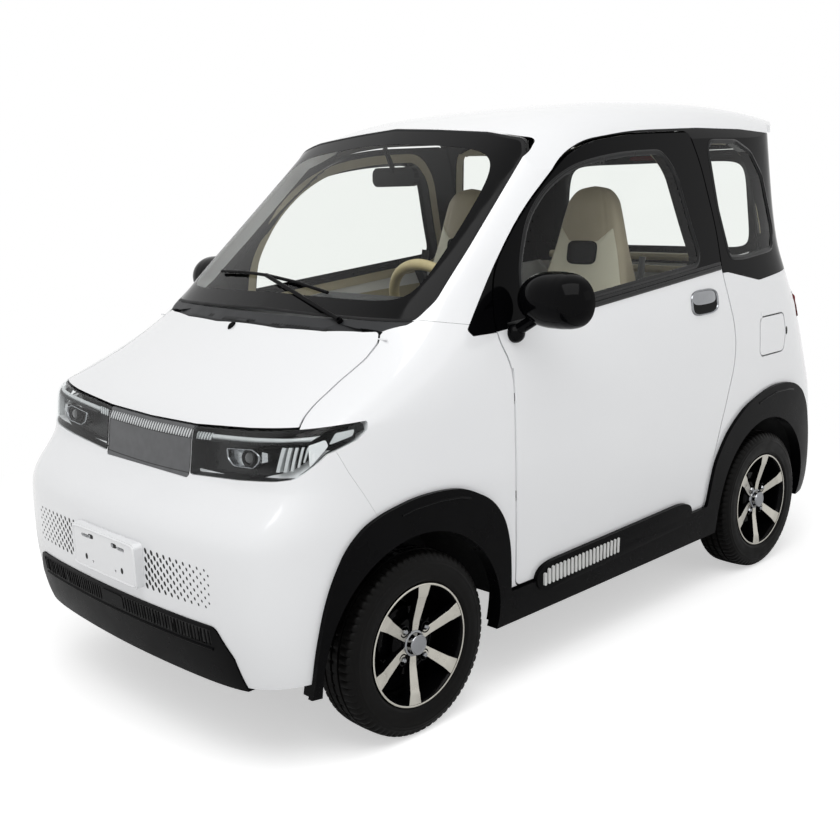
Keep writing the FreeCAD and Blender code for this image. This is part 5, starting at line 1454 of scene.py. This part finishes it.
@dataclass
class Outside:
    """Small pieces on the hood, cowl, flares, flap and tail."""

    def cowl(self) -> None:
        """Lays the cowl's four groups of vents, as near-black plates of painted shade, and the washer jet."""
        skin = Skin(["cowl_panel"], Look.TOP)
        groups = ((-0.214, -0.196, 3), (-0.125, 0.024, 14), (0.116, 0.262, 13), (0.330, 0.381, 6))
        x = np.concatenate([np.linspace(a, b, n) for a, b, n in groups])
        y = np.interp(x, [-0.22, -0.12, 0.03, 0.12, 0.26, 0.33, 0.38],
                      [-0.885, -0.8935, -0.8975, -0.8985, -0.8880, -0.8805, -0.8715])
        vents = skin.studs(flat(x, y), (0.0026, 0.0068), THIN, lean=0.45, sides=8)
        piece("cowl_vents", vents, SHADE_AND_SEAMS)
        hood = Skin(["hood"], Look.TOP)
        jet = hood.fill(oval((-0.054, -0.917), (0.0105, 0.0125), 30), 0.001, crown=0.0075, rings=7)
        piece("washer_jet", jet, MOULDED, "hood")

    def flares(self) -> None:
        """Lays the thin grooves near the flares' tops."""
        skin = Skin(["side_cladding"], Look.LEFT)
        front = [(-0.945, 0.634), (-0.900, 0.6415), (-0.810, 0.6430), (-0.735, 0.6355), (-0.695, 0.6240)]
        rear = [(0.815, 0.636), (0.858, 0.6450), (0.940, 0.6570), (1.037, 0.6530), (1.075, 0.6450)]
        shapes = []
        for line in (front, rear):
            path = even(line, 50, closed=False)
            shapes.append(skin.band(path, path - (0.0, 0.0060), THIN, steps=5, crown=0.0022, ring=False))
        piece("flare_grooves", both(together(shapes)), PIANO)

    def flap(self) -> None:
        """Lays the finger notch beside the charging flap as a near-black plate: painted shade of the notch.
        """
        skin = Skin(["quarter_panels"], Look.LEFT)
        notch = skin.fill(oval((1.034, 0.868), (0.0075, 0.0150), 40), THIN)
        piece("flap_notch", notch, SHADE_AND_SEAMS)

    def tail(self) -> None:
        """Lays the tail's blank plate, handle strip, reflectors, lower apron and high lamp."""
        gate = Skin(["tailgate"], Look.REAR)
        plate = oval((0.0, 0.790), (0.250, 0.060), 140, 12.0)
        piece("rear_plate_blank", gate.fill(plate, 0.003, crown=0.0006), PALE, "tailgate", bevel=0.001)
        rim = gate.band(grown(plate, 0.006), grown(plate, -0.001), 0.0005, steps=6, crown=0.004)
        piece("rear_plate_rim", rim, MOULDED, "tailgate")
        strip = gate.fill(oval((0.0, 0.900), (0.200, 0.0150), 120, 8.0), 0.002, crown=0.006, rings=7)
        piece("rear_handle_strip", strip, CHROME, "tailgate")
        bumper = Skin(["rear_bumper"], Look.REAR)
        x = np.linspace(-0.50, 0.50, 90)
        high = flat(x, 0.345 - 0.03 * np.abs(x / 0.5) ** 4)
        low = flat(x, 0.252)
        piece("rear_apron", bumper.band(high, low, 0.001, steps=12, crown=0.004, ring=False), MOULDED)
        lamps = bumper.studs(flat([-0.430, 0.430], 0.470), (0.070, 0.0130), 0.003, corner=5.0, sides=40)
        piece("rear_reflectors", lamps, RED, bevel=0.001)
        glass = Skin(["tailgate_glass"], Look.REAR)
        stop = oval((0.0, 1.508), (0.120, 0.0085), 100, 8.0)
        piece("high_stop_lamp", glass.fill(stop, 0.0012, crown=0.001), RED, "tailgate")
        lamp = Skin(["tail_lamps"], Look.REAR)
        inner = oval((0.585, 0.9545), (0.034, 0.034), 60, 4.0)
        ring = lamp.band(inner, grown(inner, -0.006), 0.0, steps=6, crown=0.0020)
        piece("tail_lamp_rings", both(ring), RED_BRIGHT)

    def build(self) -> None:
        """Builds every small outside piece."""
        self.cowl()
        self.flares()
        self.flap()
        self.tail()


def level(back: np.ndarray) -> tuple[np.ndarray, np.ndarray]:
    """The directions to the right, which is level, and up, square to the one back to the eye."""
    right = np.cross((0.0, 0.0, 1.0), back)
    right = right / np.linalg.norm(right)
    return right, np.cross(back, right)


def stand(made: Any, *columns: Sequence[float]) -> None:
    """Links an object, placed by four columns: right, up, back and where it stands."""
    turn = np.eye(4)
    turn[:3] = np.stack([np.array(column) for column in columns], axis=1)
    made.matrix_world = Matrix(turn.tolist())
    bpy.context.scene.collection.objects.link(made)


@dataclass
class Studio:
    """The floor, the lamps, the white surround and the camera at the photograph's place."""

    eye: tuple[float, float, float] = (2.7060, -2.8169, 1.4738)
    yaw: float = 46.163
    pitch: float = 12.1925
    roll: float = -2.0312
    focal_px: float = 1133.2
    picture_px: float = 840.0
    floor_radius: float = 14.0
    fade_from: float = 1.5
    fade_to: float = 3.0
    floor_lift: float = 0.5
    surround: float = 0.55

    def camera(self) -> None:
        """Places the camera: columns are right, up and back, turned by the roll."""
        yaw, pitch, roll = (math.radians(a) for a in (self.yaw, self.pitch, self.roll))
        back = np.array([math.sin(yaw) * math.cos(pitch), -math.cos(yaw) * math.cos(pitch), math.sin(pitch)])
        right, up = level(back)
        across = math.cos(roll) * right + math.sin(roll) * up
        rise = -math.sin(roll) * right + math.cos(roll) * up
        data = bpy.data.cameras.new("camera")
        data.sensor_width = SENSOR
        data.lens = self.focal_px / self.picture_px * SENSOR
        data.clip_end = 100.0
        made = bpy.data.objects.new("camera", data)
        stand(made, across, rise, back, self.eye)
        bpy.context.scene.camera = made

    def floor(self) -> None:
        """Lays a round floor whose colour fades into the white surround, radius² = x² + y²."""
        ring = np.linspace(0.0, TAU, 96, endpoint=False)
        spread = np.stack([np.cos(ring), np.sin(ring), np.zeros_like(ring)], axis=1) * self.floor_radius
        mesh = bpy.data.meshes.new("floor")
        mesh.from_pydata(spread.tolist(), [], [list(range(96))])
        made = bpy.data.objects.new("floor", mesh)
        bpy.context.scene.collection.objects.link(made)
        material, tree = empty_material("pale_studio_floor")
        where = add(tree, "TexCoord").outputs["Object"]
        away = add(tree, "VectorMath", {0: where}, operation="LENGTH")
        fade = add(tree, "MapRange", {"Value": away.outputs["Value"], "From Min": self.fade_from,
                                      "From Max": self.fade_to}, interpolation_type="SMOOTHSTEP")
        matt = add(tree, "BsdfDiffuse", {"Color": linear("f4f4f4")})
        path = add(tree, "LightPath")
        lift = add(tree, "Math", {0: path.outputs["Is Camera Ray"], 1: self.floor_lift}, operation="MULTIPLY")
        glow = add(tree, "Emission", {"Color": linear("ffffff"), "Strength": lift.outputs[0]})
        near = add(tree, "AddShader", {0: matt.outputs[0], 1: glow.outputs[0]})
        white = add(tree, "Emission", {"Color": linear("ffffff"), "Strength": 1.0})
        mixed = add(tree, "MixShader", {0: fade.outputs[0], 1: near.outputs[0], 2: white.outputs[0]})
        add(tree, "OutputMaterial", {"Surface": mixed.outputs[0]})
        mesh.materials.append(material)

    def lamp(self, name: str, place: Sequence[float], aim: Sequence[float], size: float,
             power: float) -> None:
        """Adds one square soft lamp that faces its aim.

        Args:
            name: the lamp's name.
            place: where it stands.
            aim: the point that it faces.
            size: the side of its square.
            power: its power in watts.
        """
        data = bpy.data.lights.new(name, "AREA")
        data.size = size
        data.energy = power
        made = bpy.data.objects.new(name, data)
        back = np.array(place, float) - np.array(aim, float)
        back = back / np.linalg.norm(back)
        stand(made, *level(back), back, place)

    def surroundings(self) -> None:
        """Sets the world: white to the camera, to gloss and through glass, softer as light."""
        world = bpy.data.worlds.new("studio")
        bpy.context.scene.world = world
        world.use_nodes = True
        tree = world.node_tree
        tree.nodes.clear()
        path = add(tree, "LightPath")
        first = add(tree, "Math", {0: path.outputs["Is Camera Ray"], 1: path.outputs["Is Glossy Ray"]},
                    operation="MAXIMUM")
        seen = add(tree, "Math", {0: first.outputs[0], 1: path.outputs["Is Transmission Ray"]},
                   operation="MAXIMUM")
        level = add(tree, "MapRange", {"Value": seen.outputs[0], "To Min": self.surround, "To Max": 1.0})
        light = add(tree, "Background", {"Color": linear("ffffff"), "Strength": level.outputs[0]})
        add(tree, "OutputWorld", {"Surface": light.outputs[0]})

    def build(self) -> None:
        """Builds the whole studio."""
        bpy.context.scene.view_settings.view_transform = "Standard"
        self.camera()
        self.floor()
        self.surroundings()
        self.lamp("overhead", (1.4, -1.9, 3.9), (0.0, -0.2, 0.9), 3.0, 76.0)
        self.lamp("side", (4.6, 0.6, 2.6), (0.0, 0.0, 0.8), 2.4, 7.0)


def dress_frame() -> None:
    """Gives every CAD node the finish of its material slot."""
    record = frame["record"]
    for entry in record["subparts"]:
        finish = NODE_FINISH.get(entry["node"], SLOT_FINISH[entry["material_slot"]])
        target = frame["nodes"][entry["node"]]
        target.data.materials.clear()
        target.data.materials.append(finish.make())
        log.info("dressed %s in %s", entry["node"], finish.name)


def main() -> None:
    """Builds the studio and every sub-assembly in order."""
    logging.basicConfig(level=logging.INFO, format="%(message)s")
    Studio().build()
    dress_frame()
    for row, along in (("front", -883.0), ("rear", 883.0)):
        for hand in ("left", "right"):
            Wheel(row, hand, along).build()
    Nose().build()
    Lamps().build()
    Glazing().build()
    Doors().build()
    Mirror().build()
    Cabin().build()
    Outside().build()


if __name__ == "__main__":
    main()
